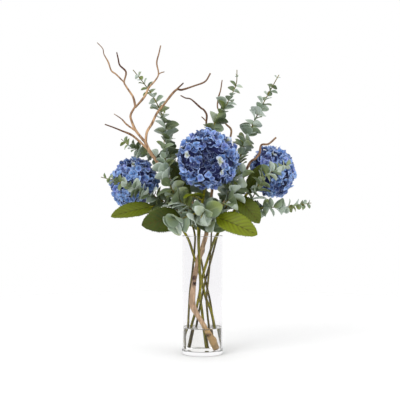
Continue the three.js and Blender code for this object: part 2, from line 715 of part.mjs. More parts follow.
/** A shoot with its leaves, as one closed shell of a four-sided stem whose sides open into the leaves. */
function shootSolid(line, { radii }, pairs) {
  const shell = { points: [], triangles: [] };
  const addRing = (place, turn) => {
    const u = place / line.length;
    const radius = along(radii, u);
    return [-1, 1, 3, 5].map((quarter) => {
      const { center, outward } = crossing(line, u, turn + (quarter * Math.PI) / 4);
      return shell.points.push(center.addScaledVector(outward, radius)) - 1;
    });
  };
  const connect = (low, high, grown = []) => {
    for (let side = 0; side < 4; side += 1) {
      const next = (side + 1) % 4;
      if (grown[side]) {
        growLeaf(shell, grown[side], [[high[next], high[side]], [low[next], low[side]]]);
      } else {
        shell.triangles.push([low[side], low[next], high[next]], [low[side], high[next], high[side]]);
      }
    }
  };
  const first = pairs[0].place - LEAF_BASE;
  const stretches = Math.ceil(first / STRETCH);
  let turn = pairs[0].spin;
  let ring = addRing(0, turn);
  shell.triangles.push([ring[0], ring[2], ring[1]], [ring[0], ring[3], ring[2]]);
  for (let stretch = 1; stretch < stretches; stretch += 1) {
    const next = addRing((first * stretch) / stretches, turn);
    connect(ring, next);
    ring = next;
  }
  for (const { place, spin, leaves } of pairs) {
    const quarters = Math.round((spin - turn) / (Math.PI / 2));
    turn = spin - (quarters * Math.PI) / 2;
    const low = addRing(place - LEAF_BASE, turn);
    const high = addRing(place + LEAF_BASE, turn);
    connect(ring, low);
    const grown = [];
    leaves.forEach((leaf, half) => {
      grown[THREE.MathUtils.euclideanModulo(quarters + 2 * half, 4)] = leaf;
    });
    connect(low, high, grown);
    ring = high;
  }
  const tip = shell.points.push(line.curve.getPointAt(1)) - 1;
  ring.forEach((corner, side) => shell.triangles.push([corner, ring[(side + 1) % 4], tip]));
  return solidFrom(shell.points, shell.triangles);
}

/** A spray: its stem and side shoots with all their leaves. */
function spraySolid(name, { seed, shoots }, room) {
  const random = randomSource(seed);
  return joined(shoots.map((shoot) => {
    const line = shootLine(shoot);
    return shootSolid(line, shoot, shootPairs(line, shoot, random, room, name));
  }));
}

// The whole arrangement

const room = new Room();
for (const head of Object.values(HEADS)) {
  room.heads.push({ center: new THREE.Vector3(...head.center), radius: Math.max(...head.radii) });
}
for (const limb of [BRANCH.trunk, ...BRANCH.limbs]) takeStem(room, limb, "branch");
for (const [name, plan] of Object.entries(FLOWER_STEMS)) takeStem(room, flowerStem(plan), name);
for (const [name, spray] of Object.entries(SPRAYS)) {
  for (const shoot of spray.shoots) takeStem(room, shoot, name);
}

const standing = [
  BRANCH.trunk,
  ...Object.values(FLOWER_STEMS).map(flowerStem),
  ...Object.values(SPRAYS).map(({ shoots: [{ route, radii }] }) => (
    { route, radii: [radii[0] + GAP], sides: 6 }
  )),
];

const arrangement = new THREE.Group();
arrangement.add(
  meshOf("vase", vaseSolid(), "glass"),
  meshOf("water", waterSolid(standing), "water"),
  meshOf("branch", joined([BRANCH.trunk, ...BRANCH.limbs].map((limb) => stemSolid(limb))), "wood"),
);
for (const [name, plan] of Object.entries(FLOWER_STEMS)) {
  arrangement.add(meshOf(name, leafyStemSolid(plan, room, name), "flowerLeaf"));
  arrangement.add(meshOf(plan.head, headSolid(HEADS[plan.head], flowerStem(plan)), "petal"));
}
for (const [name, spray] of Object.entries(SPRAYS)) {
  arrangement.add(meshOf(name, spraySolid(name, spray, room), "eucalyptus"));
}

export default arrangement;
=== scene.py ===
"""Hydrangeas, eucalyptus and a bare branch in a glass cylinder of water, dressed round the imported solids.

Routes and sizes are in millimetres, as in the part's source, and become metres where a mesh is made.
"""

import logging
import math
from collections.abc import Callable, Sequence
from dataclasses import dataclass, field
from enum import Enum
from functools import cache
from itertools import product
from typing import Self

import bpy
import numpy as np
from mathutils import Matrix, Vector


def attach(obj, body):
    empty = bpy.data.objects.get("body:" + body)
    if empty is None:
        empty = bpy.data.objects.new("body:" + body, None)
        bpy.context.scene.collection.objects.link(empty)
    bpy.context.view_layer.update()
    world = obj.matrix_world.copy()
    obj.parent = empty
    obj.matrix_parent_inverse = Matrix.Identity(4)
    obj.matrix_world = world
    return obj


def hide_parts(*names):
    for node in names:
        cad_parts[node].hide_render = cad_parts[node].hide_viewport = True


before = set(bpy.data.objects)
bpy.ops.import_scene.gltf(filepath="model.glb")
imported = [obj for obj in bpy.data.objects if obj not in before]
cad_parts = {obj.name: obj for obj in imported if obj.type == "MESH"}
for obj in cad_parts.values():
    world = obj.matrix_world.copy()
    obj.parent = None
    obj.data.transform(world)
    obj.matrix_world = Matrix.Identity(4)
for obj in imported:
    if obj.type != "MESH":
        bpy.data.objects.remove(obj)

log = logging.getLogger("hydrangeas")

MM = 0.001  # metres in a millimetre
FADED = 1.0  # tone of a floret that has turned cream
PALEST = 0.95  # highest tone of a blue floret
END_BULGE = 0.35  # how far a stem's closed end stands out, in radii
VEINS = 8  # side veins on each half of a hydrangea leaf
VEIN_SLANT = 0.3  # how far a side vein runs towards the tip, as a share of the leaf

Array = np.ndarray
Corner = tuple[float, float]  # radius and height of a point of an outline
Range = tuple[float, float]  # least and most of a random draw
Point = tuple[float, float, float]
Color = tuple[float, float, float]
Socket = bpy.types.NodeSocket
Value = Socket | float | Sequence[float]

PHASES: Range = (0.0, 6.0)  # where a wave may start, in radians

BLACK: Color = (0.0, 0.0, 0.0)
WHITE: Color = (1.0, 1.0, 1.0)


# The arrangement's plan: the same named sizes, routes and seeds as the part's source


@dataclass(frozen=True)
class VasePlan:
    """Sizes of the glass cylinder and its water."""

    radius: float = 51.0
    wall: float = 3.0
    floor: float = 9.0
    height: float = 294.0
    rim: float = 1.5
    water_level: float = 65.0


@dataclass(frozen=True)
class HeadPlan:
    """A mop head: where it is, how large it is and which way its crown points."""

    center: Point
    radii: Point
    axis: Point
    florets: int
    seed: int
    tone: float
    hollow: Point | None = None
    faded: tuple[Point, ...] = ()


@dataclass(frozen=True)
class LeafPlan:
    """A stalked hydrangea leaf: how far along the stem its stalk starts, and where its blade lies."""

    at: float
    root: Point
    tip: Point
    facing: Point
    width: float
    droop: float
    tone: float


@dataclass(frozen=True)
class StemPlan:
    """A hydrangea stem with its leaves."""

    route: tuple[Point, ...]
    leaves: tuple[LeafPlan, ...]
    radius: float = 3.1


@dataclass(frozen=True)
class LimbPlan:
    """A tapering limb of the bare branch."""

    radii: tuple[float, ...]
    route: tuple[Point, ...]


@dataclass(frozen=True)
class ShootPlan:
    """A eucalyptus stem or side shoot and the sizes of its leaves from the first pair to the last."""

    radii: tuple[float, ...]
    bare: float
    leaf: tuple[float, ...]
    spacing: tuple[float, ...]
    route: tuple[Point, ...]


VASE = VasePlan()

HEADS = {
    "hydrangea_head_center": HeadPlan(
        center=(13, -58, 481), radii=(76, 70, 73), axis=(0.04, -0.5, 0.86),
        florets=290, seed=5, tone=0.6, hollow=(-0.14, -0.98, -0.04),
        faded=(
            (0.41, -0.91, 0.0), (0.35, -0.8, -0.48), (-0.6, -0.79, 0.08), (0.65, -0.4, 0.65),
            (0.5, 0.6, 0.6),
        ),
    ),
    "hydrangea_head_left": HeadPlan(
        center=(-170, 25, 423), radii=(63, 64, 66), axis=(-0.72, -0.2, 0.62),
        florets=215, seed=6, tone=0.66,
        faded=((0.03, -0.55, 0.83), (-0.8, 0.5, 0.3)),
    ),
    "hydrangea_head_right": HeadPlan(
        center=(176, 35, 454), radii=(60, 60, 66), axis=(0.74, -0.16, 0.6),
        florets=205, seed=7, tone=0.86,
        faded=((0.08, -0.75, 0.66), (0.7, 0.7, 0.1)),
    ),
}

STEMS = {
    "hydrangea_stem_center": StemPlan(
        route=(
            (8, 12, 13), (3, 2, 68), (-1, -8, 105), (-6, -18, 145), (-5, -24, 182), (-8, -27, 240),
            (-10, -30, 300), (-7, -38, 345), (2, -46, 388), (9, -55, 430),
        ),
        leaves=(
            LeafPlan(0.93, (2, -62, 388), (-44, -116, 386), (-0.3, -0.2, 1), 30, 0.9, 0.9),
            LeafPlan(0.88, (-32, -22, 394), (-78, -20, 470), (-0.3, -1, 0.2), 38, 0.4, 0.1),
        ),
    ),
    "hydrangea_stem_left": StemPlan(
        route=(
            (38, 4, 13), (31, 0, 62), (21, 0, 107), (8, 0, 140), (-6, 2, 195), (-22, 1, 245),
            (-38, 0, 290), (-70, 6, 335), (-108, 14, 378), (-135, 20, 404),
        ),
        leaves=(
            LeafPlan(0.9, (-124, -34, 366), (-222, -64, 342), (0.1, -0.85, 0.6), 46, 0.3, 0.6),
            LeafPlan(0.8, (-54, -44, 340), (-146, -84, 322), (-0.1, -1, 0.25), 68, 0.35, 0.08),
            LeafPlan(0.86, (-100, 42, 352), (-168, 98, 340), (-0.2, 0.4, 1), 50, 0.5, 0.5),
        ),
    ),
    "hydrangea_stem_right": StemPlan(
        route=(
            (-38, 14, 13), (-28, 8, 65), (-18, 4, 100), (-9, -2, 140), (0, -8, 190), (14, -5, 237),
            (33, -7, 290), (62, 2, 330), (102, 18, 385), (143, 29, 429),
        ),
        leaves=(
            LeafPlan(0.78, (34, -66, 341), (130, -106, 300), (0.05, -1, 0.45), 60, 0.4, 0.9),
            LeafPlan(0.86, (86, -34, 388), (138, -64, 326), (0.2, -1, 0.3), 54, 0.4, 0.35),
            LeafPlan(0.93, (112, -8, 398), (146, -32, 470), (-0.2, -1, 0.1), 36, 0.3, 0.2),
            LeafPlan(0.84, (76, 44, 350), (146, 96, 338), (0.2, 0.5, 1), 50, 0.5, 0.5),
        ),
    ),
}

TRUNK = LimbPlan(
    (7, 6.2, 5),
    (
        (30, -14, 13), (8, -24, 65), (-19, -26, 110), (-24, -24, 131), (-22, -20, 172), (-16, -14, 208),
        (-4, -8, 253), (8, -4, 290), (12, 6, 330),
    ),
)

LIMBS = (
    LimbPlan(
        (5, 4.6, 3.6),
        (
            (11, 2, 318), (-22, 6, 368), (-62, -10, 412), (-98, -22, 449), (-112, -22, 477),
            (-132, -22, 505), (-143, -20, 530),
        ),
    ),
    LimbPlan(
        (3, 2.6, 1.6),
        (
            (-141, -21, 524), (-137, -20, 550), (-124, -22, 573), (-113, -20, 597), (-95, -16, 620),
            (-67, -5, 656), (-51, 0, 658), (-19, 5, 669), (7, 8, 680), (20, 5, 700),
        ),
    ),
    LimbPlan((2, 1.8, 1.3), ((-68, -5, 655), (-57, -12, 664), (-47, -16, 673))),
    LimbPlan(
        (3.2, 2.8, 2.4),
        ((-142, -20, 526), (-166, -12, 556), (-178, -8, 584), (-178, -6, 597), (-167, -4, 617)),
    ),
    LimbPlan(
        (2.4, 2, 1.2),
        (
            (-168, -4, 613), (-144, -8, 640), (-134, -10, 661), (-116, -14, 681), (-109, -16, 696),
            (-113, -20, 722), (-108, -24, 743), (-103, -26, 764),
        ),
    ),
    LimbPlan((1.5, 1.2), ((-110, -15, 694), (-103, -10, 699), (-95, -6, 702))),
    LimbPlan(
        (2.4, 2.2, 1.3),
        (
            (-167, -4, 615), (-174, 0, 641), (-191, 4, 667), (-196, 6, 679), (-192, 10, 704),
            (-208, 14, 722), (-212, 16, 738), (-216, 18, 755),
        ),
    ),
    LimbPlan(
        (1.8, 1.5, 1),
        (
            (-195, 6, 676), (-215, 0, 696), (-227, -4, 705), (-235, -6, 727), (-245, -10, 745),
            (-248, -12, 759), (-261, -16, 773),
        ),
    ),
    LimbPlan(
        (2.6, 2.2, 1.5),
        (
            (-128, -22, 500), (-153, -30, 525), (-174, -38, 542), (-198, -44, 552), (-218, -48, 560),
            (-238, -52, 567),
        ),
    ),
    LimbPlan((2, 1.7, 1.1), ((-164, -12, 553), (-188, 0, 570), (-203, 8, 586), (-222, 14, 599))),
    LimbPlan(
        (3.8, 3, 1.5),
        (
            (12, 6, 326), (22, 44, 380), (26, 58, 440), (18, 54, 510), (12, 47, 564), (10, 45, 579),
            (11, 44, 599), (4, 42, 612), (-5, 40, 618), (-28, 34, 638), (-43, 28, 641), (-55, 26, 647),
        ),
    ),
    LimbPlan((1.5, 1.1), ((10, 45, 583), (4, 40, 589), (-2, 36, 594))),
    LimbPlan(
        (2.8, 2.2, 1.2),
        (
            (26, 58, 438), (56, 68, 500), (75, 68, 558), (60, 68, 580), (46, 70, 608), (39, 70, 624),
            (43, 66, 650), (47, 64, 666), (51, 60, 691),
        ),
    ),
    LimbPlan(
        (3.6, 3, 2),
        (
            (11, 4, 322), (44, 6, 366), (84, -14, 408), (115, -36, 471), (130, -40, 484),
            (139, -42, 496), (144, -42, 517), (162, -40, 520), (181, -36, 536),
        ),
    ),
)

SPRAY_SEEDS = {
    "eucalyptus_left": 22,
    "eucalyptus_right": 17,
    "eucalyptus_back": 32,
    "eucalyptus_front": 16,
}

SPRAYS = {
    "eucalyptus_left": (
        ShootPlan(
            (2.5, 2.1, 0.9), 0.45, (46, 42, 37, 30, 12), (33, 31, 28, 23),
            (
                (-37, -10, 13), (-36, -4, 57), (-34, 3, 107), (-31, 7, 157), (-26, 11, 195),
                (-20, 15, 258), (-20, 19, 300), (-38, 30, 350), (-67, 30, 408), (-79, 26, 471),
                (-89, 22, 534), (-99, 18, 589), (-119, 15, 634), (-142, 12, 669), (-174, 8, 709),
            ),
        ),
        ShootPlan(
            (1.6, 0.8), 0.2, (42, 32, 14), (30, 24, 18),
            (
                (-32, 26, 333), (-58, 6, 354), (-106, -18, 384), (-152, -52, 407), (-200, -64, 426),
                (-246, -66, 438),
            ),
        ),
        ShootPlan(
            (1.3, 0.7), 0.3, (32, 27, 12), (25, 20, 16),
            ((-79, 26, 474), (-126, 6, 492), (-161, 0, 508), (-186, 0, 521), (-203, -2, 535)),
        ),
    ),
    "eucalyptus_right": (
        ShootPlan(
            (2.5, 2.1, 0.9), 0.46, (46, 42, 37, 30, 12), (33, 31, 28, 23),
            (
                (-22, 18, 13), (-16, 15, 60), (-9, 13, 100), (1, 12, 150), (10, 11, 190),
                (24, 11, 240), (38, 12, 292), (54, 24, 345), (76, 34, 410), (95, 32, 489),
                (111, 28, 534), (133, 25, 585), (161, 22, 640), (193, 18, 698),
            ),
        ),
        ShootPlan(
            (1.6, 0.8), 0.24, (40, 31, 13), (30, 24, 18),
            (
                (49, 20, 328), (80, 8, 342), (112, -12, 354), (155, -22, 364), (205, -16, 365),
                (272, 0, 375),
            ),
        ),
        ShootPlan(
            (1.3, 0.7), 0.3, (37, 29, 14), (27, 21, 17),
            ((110, -11, 354), (128, -38, 398), (146, -52, 434), (178, -52, 456), (218, -42, 472)),
        ),
    ),
    "eucalyptus_back": (
        ShootPlan(
            (2.5, 2.1, 0.9), 0.46, (46, 42, 37, 30, 12), (33, 31, 28, 23),
            (
                (34, 18, 13), (28, 20, 70), (21, 21, 120), (13, 22, 157), (4, 22, 195),
                (-3, 23, 232), (-8, 26, 265), (-6, 36, 312), (2, 62, 372), (6, 80, 450),
                (18, 64, 530), (25, 42, 567), (50, 40, 607), (70, 38, 642), (86, 36, 677),
                (88, 34, 713),
            ),
        ),
        ShootPlan(
            (1.5, 0.8), 0.25, (43, 36, 18), (30, 26, 20),
            ((-4, 44, 334), (-34, 74, 368), (-58, 96, 410), (-76, 108, 456), (-88, 112, 500)),
        ),
        ShootPlan(
            (1.5, 0.8), 0.25, (43, 36, 18), (30, 26, 20),
            ((-4, 43, 332), (36, 76, 366), (62, 100, 408), (80, 110, 450), (94, 112, 492)),
        ),
        ShootPlan(
            (1.5, 0.8), 0.3, (43, 36, 20), (30, 22),
            ((-6, 38, 318), (0, 72, 332), (4, 104, 336), (8, 138, 326)),
        ),
    ),
    "eucalyptus_front": (
        ShootPlan(
            (2.5, 2.1, 1), 0.76, (46, 42, 32), (28, 24),
            (
                (22, 2, 13), (16, -4, 68), (12, -10, 105), (10, -16, 140), (14, -18, 182),
                (19, -22, 240), (22, -26, 296), (23, -44, 328), (14, -72, 350), (4, -98, 356),
                (-4, -124, 340),
            ),
        ),
        ShootPlan(
            (1.6, 0.9), 0.24, (44, 38, 32, 20), (30, 24),
            (
                (19, -58, 341), (-12, -72, 352), (-46, -72, 374), (-72, -66, 405), (-86, -60, 445),
                (-92, -52, 490), (-94, -46, 528),
            ),
        ),
        ShootPlan(
            (1.5, 0.9), 0.3, (44, 40, 28), (28, 24),
            ((7, -88, 355), (-24, -98, 348), (-56, -104, 334), (-84, -106, 314)),
        ),
        ShootPlan(
            (1.5, 0.9), 0.3, (41, 30), (28, 24),
            ((18, -62, 344), (44, -70, 364), (70, -68, 392), (90, -60, 424), (102, -50, 462)),
        ),
    ),
}


# Curves and random draws


def unit(vector: Array) -> Array:
    """The vector at length 1."""
    return vector / np.linalg.norm(vector)


def along(values: Sequence[float], u: float) -> float:
    """The value at u, from 0 to 1, of a list of values spread evenly."""
    return float(np.interp(u * (len(values) - 1), range(len(values)), values))


def turned(vector: Array, axis: Array, angle: float) -> Array:
    """Turns a vector about a unit axis.

    Args:
        vector: The vector to turn.
        axis: The unit axis.
        angle: The angle in radians.

    Returns:
        The turned vector.
    """
    cosine, sine = math.cos(angle), math.sin(angle)
    return vector * cosine + np.cross(axis, vector) * sine + axis * np.dot(axis, vector) * (1 - cosine)


class Draws:
    """A seeded source of even random numbers, which gives the part's own draws."""

    FACTOR = 1664525
    STEP = 1013904223
    SPAN = 2**32

    def __init__(self, seed: int) -> None:
        """Starts the source at its seed."""
        self.state = seed

    def signed(self) -> float:
        """The next number from -1 to 1."""
        self.state = (self.state * self.FACTOR + self.STEP) % self.SPAN
        return 2 * self.state / self.SPAN - 1


class Route:
    """A smooth curve through points, measured by its length, with cross directions that don't twist."""

    DIVISIONS = 200
    FRAMES = 60
    NUDGE = 1e-4  # step of the parameter to each side of a tangent
    STRAIGHT = 1e-12  # least sine of a turn that counts as one

    def __init__(self, points: Sequence[Sequence[float]]) -> None:
        """Measures the curve.

        Args:
            points: The points that it passes, in millimetres.
        """
        inner = np.array(points, dtype=float)
        self.controls = np.vstack([2 * inner[0] - inner[1], inner, 2 * inner[-1] - inner[-2]])
        self.steps = np.linspace(0, 1, self.DIVISIONS + 1)
        gaps = np.linalg.norm(np.diff(self.curve(self.steps), axis=0), axis=1)
        self.lengths = np.concatenate([[0], np.cumsum(gaps)])
        self.length = float(self.lengths[-1])
        self.normals = self.transported_normals()

    def curve(self, t: Array) -> Array:
        """Points of the curve at its own parameter.

        Args:
            t: Parameters from 0 to 1.

        Returns:
            One point a row.
        """
        last = len(self.controls) - 3
        place = np.clip(np.atleast_1d(t), 0, 1) * last
        index = np.minimum(place.astype(int), last - 1)
        w = (place - index)[:, None]
        before, start, end, after = (self.controls[index + step] for step in range(4))
        leave, arrive = 0.5 * (end - before), 0.5 * (after - start)
        cubic = 2 * start - 2 * end + leave + arrive
        square = -3 * start + 3 * end - 2 * leave - arrive
        return start + leave * w + square * w**2 + cubic * w**3

    def parameter(self, u: Array) -> Array:
        """The curve's own parameter at a share of its length."""
        return np.interp(np.atleast_1d(u) * self.length, self.lengths, self.steps)

    def points(self, u: Array) -> Array:
        """The points at shares of the length, one a row."""
        return self.curve(self.parameter(u))

    def point(self, u: float) -> Array:
        """The point at a share of the length."""
        return self.points(np.array([u]))[0]

    def tangent(self, u: float) -> Array:
        """The curve's direction.

        Args:
            u: Share of the length.

        Returns:
            A unit vector.
        """
        t = self.parameter(np.array([u]))[0]
        low, high = self.curve(np.array([max(t - self.NUDGE, 0), min(t + self.NUDGE, 1)]))
        return unit(high - low)

    def transported_normals(self) -> Array:
        """Cross directions carried along the curve.

        Returns:
            One unit normal a row, FRAMES + 1 in all.
        """
        tangents = [self.tangent(step / self.FRAMES) for step in range(self.FRAMES + 1)]
        sizes = np.abs(tangents[0])
        smallest = max(axis for axis in range(3) if sizes[axis] == sizes.min())
        side = unit(np.cross(tangents[0], np.eye(3)[smallest]))
        normals = [np.cross(tangents[0], side)]
        for before, after in zip(tangents, tangents[1:]):
            axis = np.cross(before, after)
            normal = normals[-1]
            if np.linalg.norm(axis) > self.STRAIGHT:
                angle = math.acos(min(max(float(np.dot(before, after)), -1), 1))
                normal = turned(normal, unit(axis), angle)
            normals.append(normal)
        return np.array(normals)

    def across(self, u: float, angle: float) -> Array:
        """The direction across the curve at an angle round it.

        Args:
            u: Share of the length.
            angle: Angle round the curve in radians.

        Returns:
            A unit vector.
        """
        tangent = self.tangent(u)
        nearest = self.normals[int(u * self.FRAMES + 0.5)]
        normal = unit(nearest - tangent * np.dot(nearest, tangent))
        return turned(normal, tangent, angle)


# Blades


def round_outline(t: Array) -> Array:
    """Half width of a eucalyptus leaf, as a share of its width."""
    return 0.5 * np.maximum(np.sin(np.pi * t**0.95), 0) ** 0.72


def ovate_outline(t: Array) -> Array:
    """Half width of a hydrangea leaf, as a share of its width."""
    return 0.5 * np.minimum(1, 2.45 * t**0.6 * (1 - t) ** 0.72)


@dataclass
class Blade:
    """A leaf's place: its root and its own axes along the rib, across it and up through its face."""

    root: Array
    rib: Array
    across: Array
    up: Array
    length: float
    width: float
    outline: Callable[[Array], Array]
    droop: float
    fold: float

    @classmethod
    def placed(cls, root: Array, direction: Array, facing: Array, **sizes: object) -> Self:
        """A blade along a direction whose face looks towards another.

        Args:
            root: The root's place.
            direction: The way that the rib points.
            facing: The way that the face looks.
            **sizes: The remaining fields.

        Returns:
            The blade.
        """
        rib = unit(direction)
        up = unit(facing - rib * np.dot(facing, rib))
        return cls(root, rib, np.cross(up, rib), up, **sizes)

    def at(self, t: Array, side: Array, half: Array | None = None) -> Array:
        """Points of the face.

        Args:
            t: Places along the rib, from 0 to 1.
            side: Places across, from -1 to 1.
            half: Half widths in millimetres, or None for the outline's own.

        Returns:
            One point for each place, with its coordinates last.
        """
        angle = self.droop * t
        half = self.width * self.outline(t) if half is None else half
        lift = self.fold * half * np.abs(side)
        forward = self.length * np.sin(angle) / self.droop + lift * np.sin(angle)
        rise = -self.length * (1 - np.cos(angle)) / self.droop + lift * np.cos(angle)
        return (
            self.root
            + forward[..., None] * self.rib
            + (half * side)[..., None] * self.across
            + rise[..., None] * self.up
        )

    def grid(self, t: Array, half: Array, columns: int) -> tuple[Array, Array, Array, Array]:
        """Points all over the face, in rows across it.

        Args:
            t: Each row's place along the rib, from 0 to 1.
            half: Each row's half width in millimetres.
            columns: Number of points in a row.

        Returns:
            Grids of the places along and across, of the half widths, and of the points.
        """
        rows_t, side = np.meshgrid(t, np.linspace(-1, 1, columns), indexing="ij")
        halves = np.repeat(half[:, None], columns, axis=1)
        return rows_t, side, halves, self.at(rows_t, side, halves)

    def samples(self, start: float, end: float = 1.0) -> Array:
        """Points all over a stretch of the blade, for finding what it would meet.

        Args:
            start: Where the stretch starts along the rib.
            end: Where it ends.

        Returns:
            One point a row.
        """
        rows = math.ceil(self.length / Room.SAMPLE)
        found = []
        for row in range(math.ceil(rows * start), math.floor(rows * end + 1e-9) + 1):
            t = np.array(row / rows)
            columns = math.ceil(2 * self.width * float(self.outline(t)) / Room.SAMPLE) + 1
            side = np.linspace(-1, 1, columns + 1)
            found.append(self.at(np.full(side.shape, t), side))
        return np.concatenate(found) if found else np.empty((0, 3))


class Room:
    """The space already taken, which keeps the leaves clear of each other and of the stems."""

    CELL = 14.0
    SAMPLE = 4.0
    BLADE_REACH = 2.0
    STEM_CLEARANCE = 0.9
    OWN_REACH = -0.4
    VASE_CLEARANCE = 3.0

    def __init__(self) -> None:
        """Starts with the flower heads' space."""
        self.cells: dict[tuple[int, int, int], list[tuple[float, float, float, float, str]]] = {}
        self.heads = [(np.array(head.center, float), max(head.radii)) for head in HEADS.values()]

    def cell(self, point: Array) -> tuple[int, int, int]:
        """The cell that a point lies in."""
        x, y, z = np.floor(point / self.CELL)
        return int(x), int(y), int(z)

    def take(self, points: Array, radius: float, owner: str) -> None:
        """Takes a ball at each point.

        Args:
            points: One point a row.
            radius: The balls' radius.
            owner: Whose they are.
        """
        for point in points:
            x, y, z = self.cell(point)
            ball = (*map(float, point), radius, owner)
            for a, b, c in product((-1, 0, 1), repeat=3):
                self.cells.setdefault((x + a, y + b, z + c), []).append(ball)

    def take_stem(self, route: Route, radii: Sequence[float], owner: str) -> None:
        """Takes the room that a stem fills.

        Args:
            route: The stem's curve.
            radii: Its radii.
            owner: Whose it is.
        """
        count = math.ceil(route.length / self.SAMPLE)
        for u in np.arange(count + 1) / count:
            self.take(route.points(np.array([u])), along(radii, u) + self.STEM_CLEARANCE, owner)

    def is_free(self, points: Array, owner: str, reach: float = BLADE_REACH) -> bool:
        """Whether a blade's points are clear of everything.

        Args:
            points: One point a row.
            owner: Whose blade it is: it may come nearer to its own stems.
            reach: How far each point keeps from the balls of others.

        Returns:
            True if the room is free.
        """
        for center, radius in self.heads:
            if np.any(np.linalg.norm(points - center, axis=1) < radius + self.BLADE_REACH):
                return False
        near = np.hypot(points[:, 0], points[:, 1]) < VASE.radius + self.VASE_CLEARANCE
        if np.any(near & (points[:, 2] < VASE.height + self.VASE_CLEARANCE)):
            return False
        for point in points:
            px, py, pz = map(float, point)
            for x, y, z, radius, whose in self.cells.get(self.cell(point), ()):
                limit = radius + (min(self.OWN_REACH, reach) if whose == owner else reach)
                if (x - px) ** 2 + (y - py) ** 2 + (z - pz) ** 2 < limit * limit:
                    return False
        return True


# Bark


@dataclass(frozen=True)
class Scar:
    """A dark scar where a twig came off: its length along the limb, its facing and its reach."""

    place: float
    facing: Point
    reach: float = 5.0


@dataclass
class Bark:
    """Ridges, swellings and dark places of one limb."""

    seed: int
    roughness: float
    tip: float
    scars: tuple[Scar, ...] = ()

    # Height of each ridge in radii, its number round the limb, and its pitch in millimetres
    RIDGES = ((0.09, 2, 21), (0.06, 3, -13), (0.04, 5, 6), (0.08, 0, 17), (0.05, 0, 7))
    SWELLINGS = 7
    SWELLING = 0.35
    # Least and most of a swelling's place and reach in millimetres, and of its turn
    SWELLING_DRAWS = ((10, 5, 0), (330, 11, 2 * np.pi))
    DARKENING = 1.4  # how soon a limb is as dark as its tip
    SCAR_LIP = 0.5
    SCAR_PIT = 0.6
    SCAR_EDGE = 0.32  # where a scar's dark starts
    TEARS = 9  # ragged points round a scar
    TEAR = 0.12

    def __post_init__(self) -> None:
        """Draws where the ridges start, and each swelling's place, reach and turn."""
        draws = np.random.default_rng(self.seed)
        self.phases = draws.uniform(0, 2 * np.pi, len(self.RIDGES))
        self.swellings = draws.uniform(*self.SWELLING_DRAWS, (self.SWELLINGS, 3))

    def ring(self, u: float, distance: float, turns: Array, outward: Array) -> tuple[Array, Array]:
        """The shape and darkness of one ring.

        Args:
            u: Share of the limb's length.
            distance: Length from the limb's foot, in millimetres.
            turns: Angles round the limb.
            outward: The direction from the limb's middle to each point of the ring.

        Returns:
            The share by which each radius changes, and how dark each point is.
        """
        swell = np.zeros(len(turns))
        for (height, number, pitch), phase in zip(self.RIDGES, self.phases):
            swell += height * np.sin(number * turns + distance / pitch + phase)
        for place, reach, turn in self.swellings:
            near = math.exp(-(((distance - place) / reach) ** 2))
            swell += self.SWELLING * near * np.maximum(np.cos(turns - turn), 0) ** 2
        dark = np.full(len(turns), self.tip * min(self.DARKENING * u, 1) ** 1.5)
        for scar in self.scars:
            near = math.exp(-(((distance - scar.place) / scar.reach) ** 2))
            facing = np.maximum(outward @ unit(np.array(scar.facing)), 0)
            swell += self.SCAR_LIP * near * facing**2 - self.SCAR_PIT * near**5 * facing**8
            torn = near + self.TEAR * np.sin(self.TEARS * turns + distance)
            dark = np.maximum(dark, np.clip(2 * (torn * facing - self.SCAR_EDGE), 0, 1))
        return 1 + self.roughness * swell, dark


# Meshes


class Surface:
    """Points and faces that become one mesh, with a place on the piece for each point.

    A place is how far along the leaf, sepal or stem the point is, how far across it, and its tone.
    """

    def __init__(self) -> None:
        """Starts empty."""
        self.points: list[Array] = []
        self.places: list[Array] = []
        self.faces: list[list[int]] = []
        self.slots: list[int] = []
        self.count = 0

    def add(self, points: Array, places: Array, faces: Sequence[Sequence[int]], slot: int = 0) -> None:
        """Adds a patch.

        Args:
            points: One point a row, in millimetres.
            places: One place a row.
            faces: Corners of each face, counted in the patch.
            slot: The material slot of its faces.
        """
        self.points.append(points)
        self.places.append(places)
        self.faces.extend([corner + self.count for corner in face] for face in faces)
        self.slots.extend([slot] * len(faces))
        self.count += len(points)

    def piece(self, name: str, materials: Sequence[bpy.types.Material]) -> bpy.types.Object:
        """Makes the object.

        Args:
            name: Its name.
            materials: Its material slots.

        Returns:
            The object, smoothly shaded.
        """
        mesh = bpy.data.meshes.new(name)
        mesh.from_pydata((np.concatenate(self.points) * MM).tolist(), [], self.faces)
        for material in materials:
            mesh.materials.append(material)
        mesh.polygons.foreach_set("material_index", self.slots)
        mesh.polygons.foreach_set("use_smooth", [True] * len(self.faces))
        layer = mesh.attributes.new("place", "FLOAT_VECTOR", "POINT")
        layer.data.foreach_set("vector", np.concatenate(self.places).astype(np.float32).ravel())
        mesh.update()
        piece = bpy.data.objects.new(name, mesh)
        bpy.context.scene.collection.objects.link(piece)
        return piece


def grid_faces(rows: int, columns: int, closed: bool = False) -> list[list[int]]:
    """Four-cornered faces over rows of points.

    Args:
        rows: Number of rows.
        columns: Number of points in a row.
        closed: Whether each row is a ring.

    Returns:
        The corners of each face.
    """
    span = columns if closed else columns - 1
    faces = []
    for row in range(rows - 1):
        for column in range(span):
            a = row * columns + column
            b = row * columns + (column + 1) % columns
            faces.append([a, b, b + columns, a + columns])
    return faces


def closed_faces(rings: int, sides: int) -> list[list[int]]:
    """Faces over rings of points, closed round two end points that follow the rings.

    Args:
        rings: Number of rings.
        sides: Number of points in a ring.

    Returns:
        The corners of each face.
    """
    count = rings * sides
    faces = grid_faces(rings, sides, closed=True)
    for side in range(sides):
        after = (side + 1) % sides
        faces.append([count, after, side])
        faces.append([count + 1, count - sides + side, count - sides + after])
    return faces


def around(sides: int) -> Array:
    """Angles spread evenly round a ring."""
    return np.linspace(0, 2 * np.pi, sides, endpoint=False)


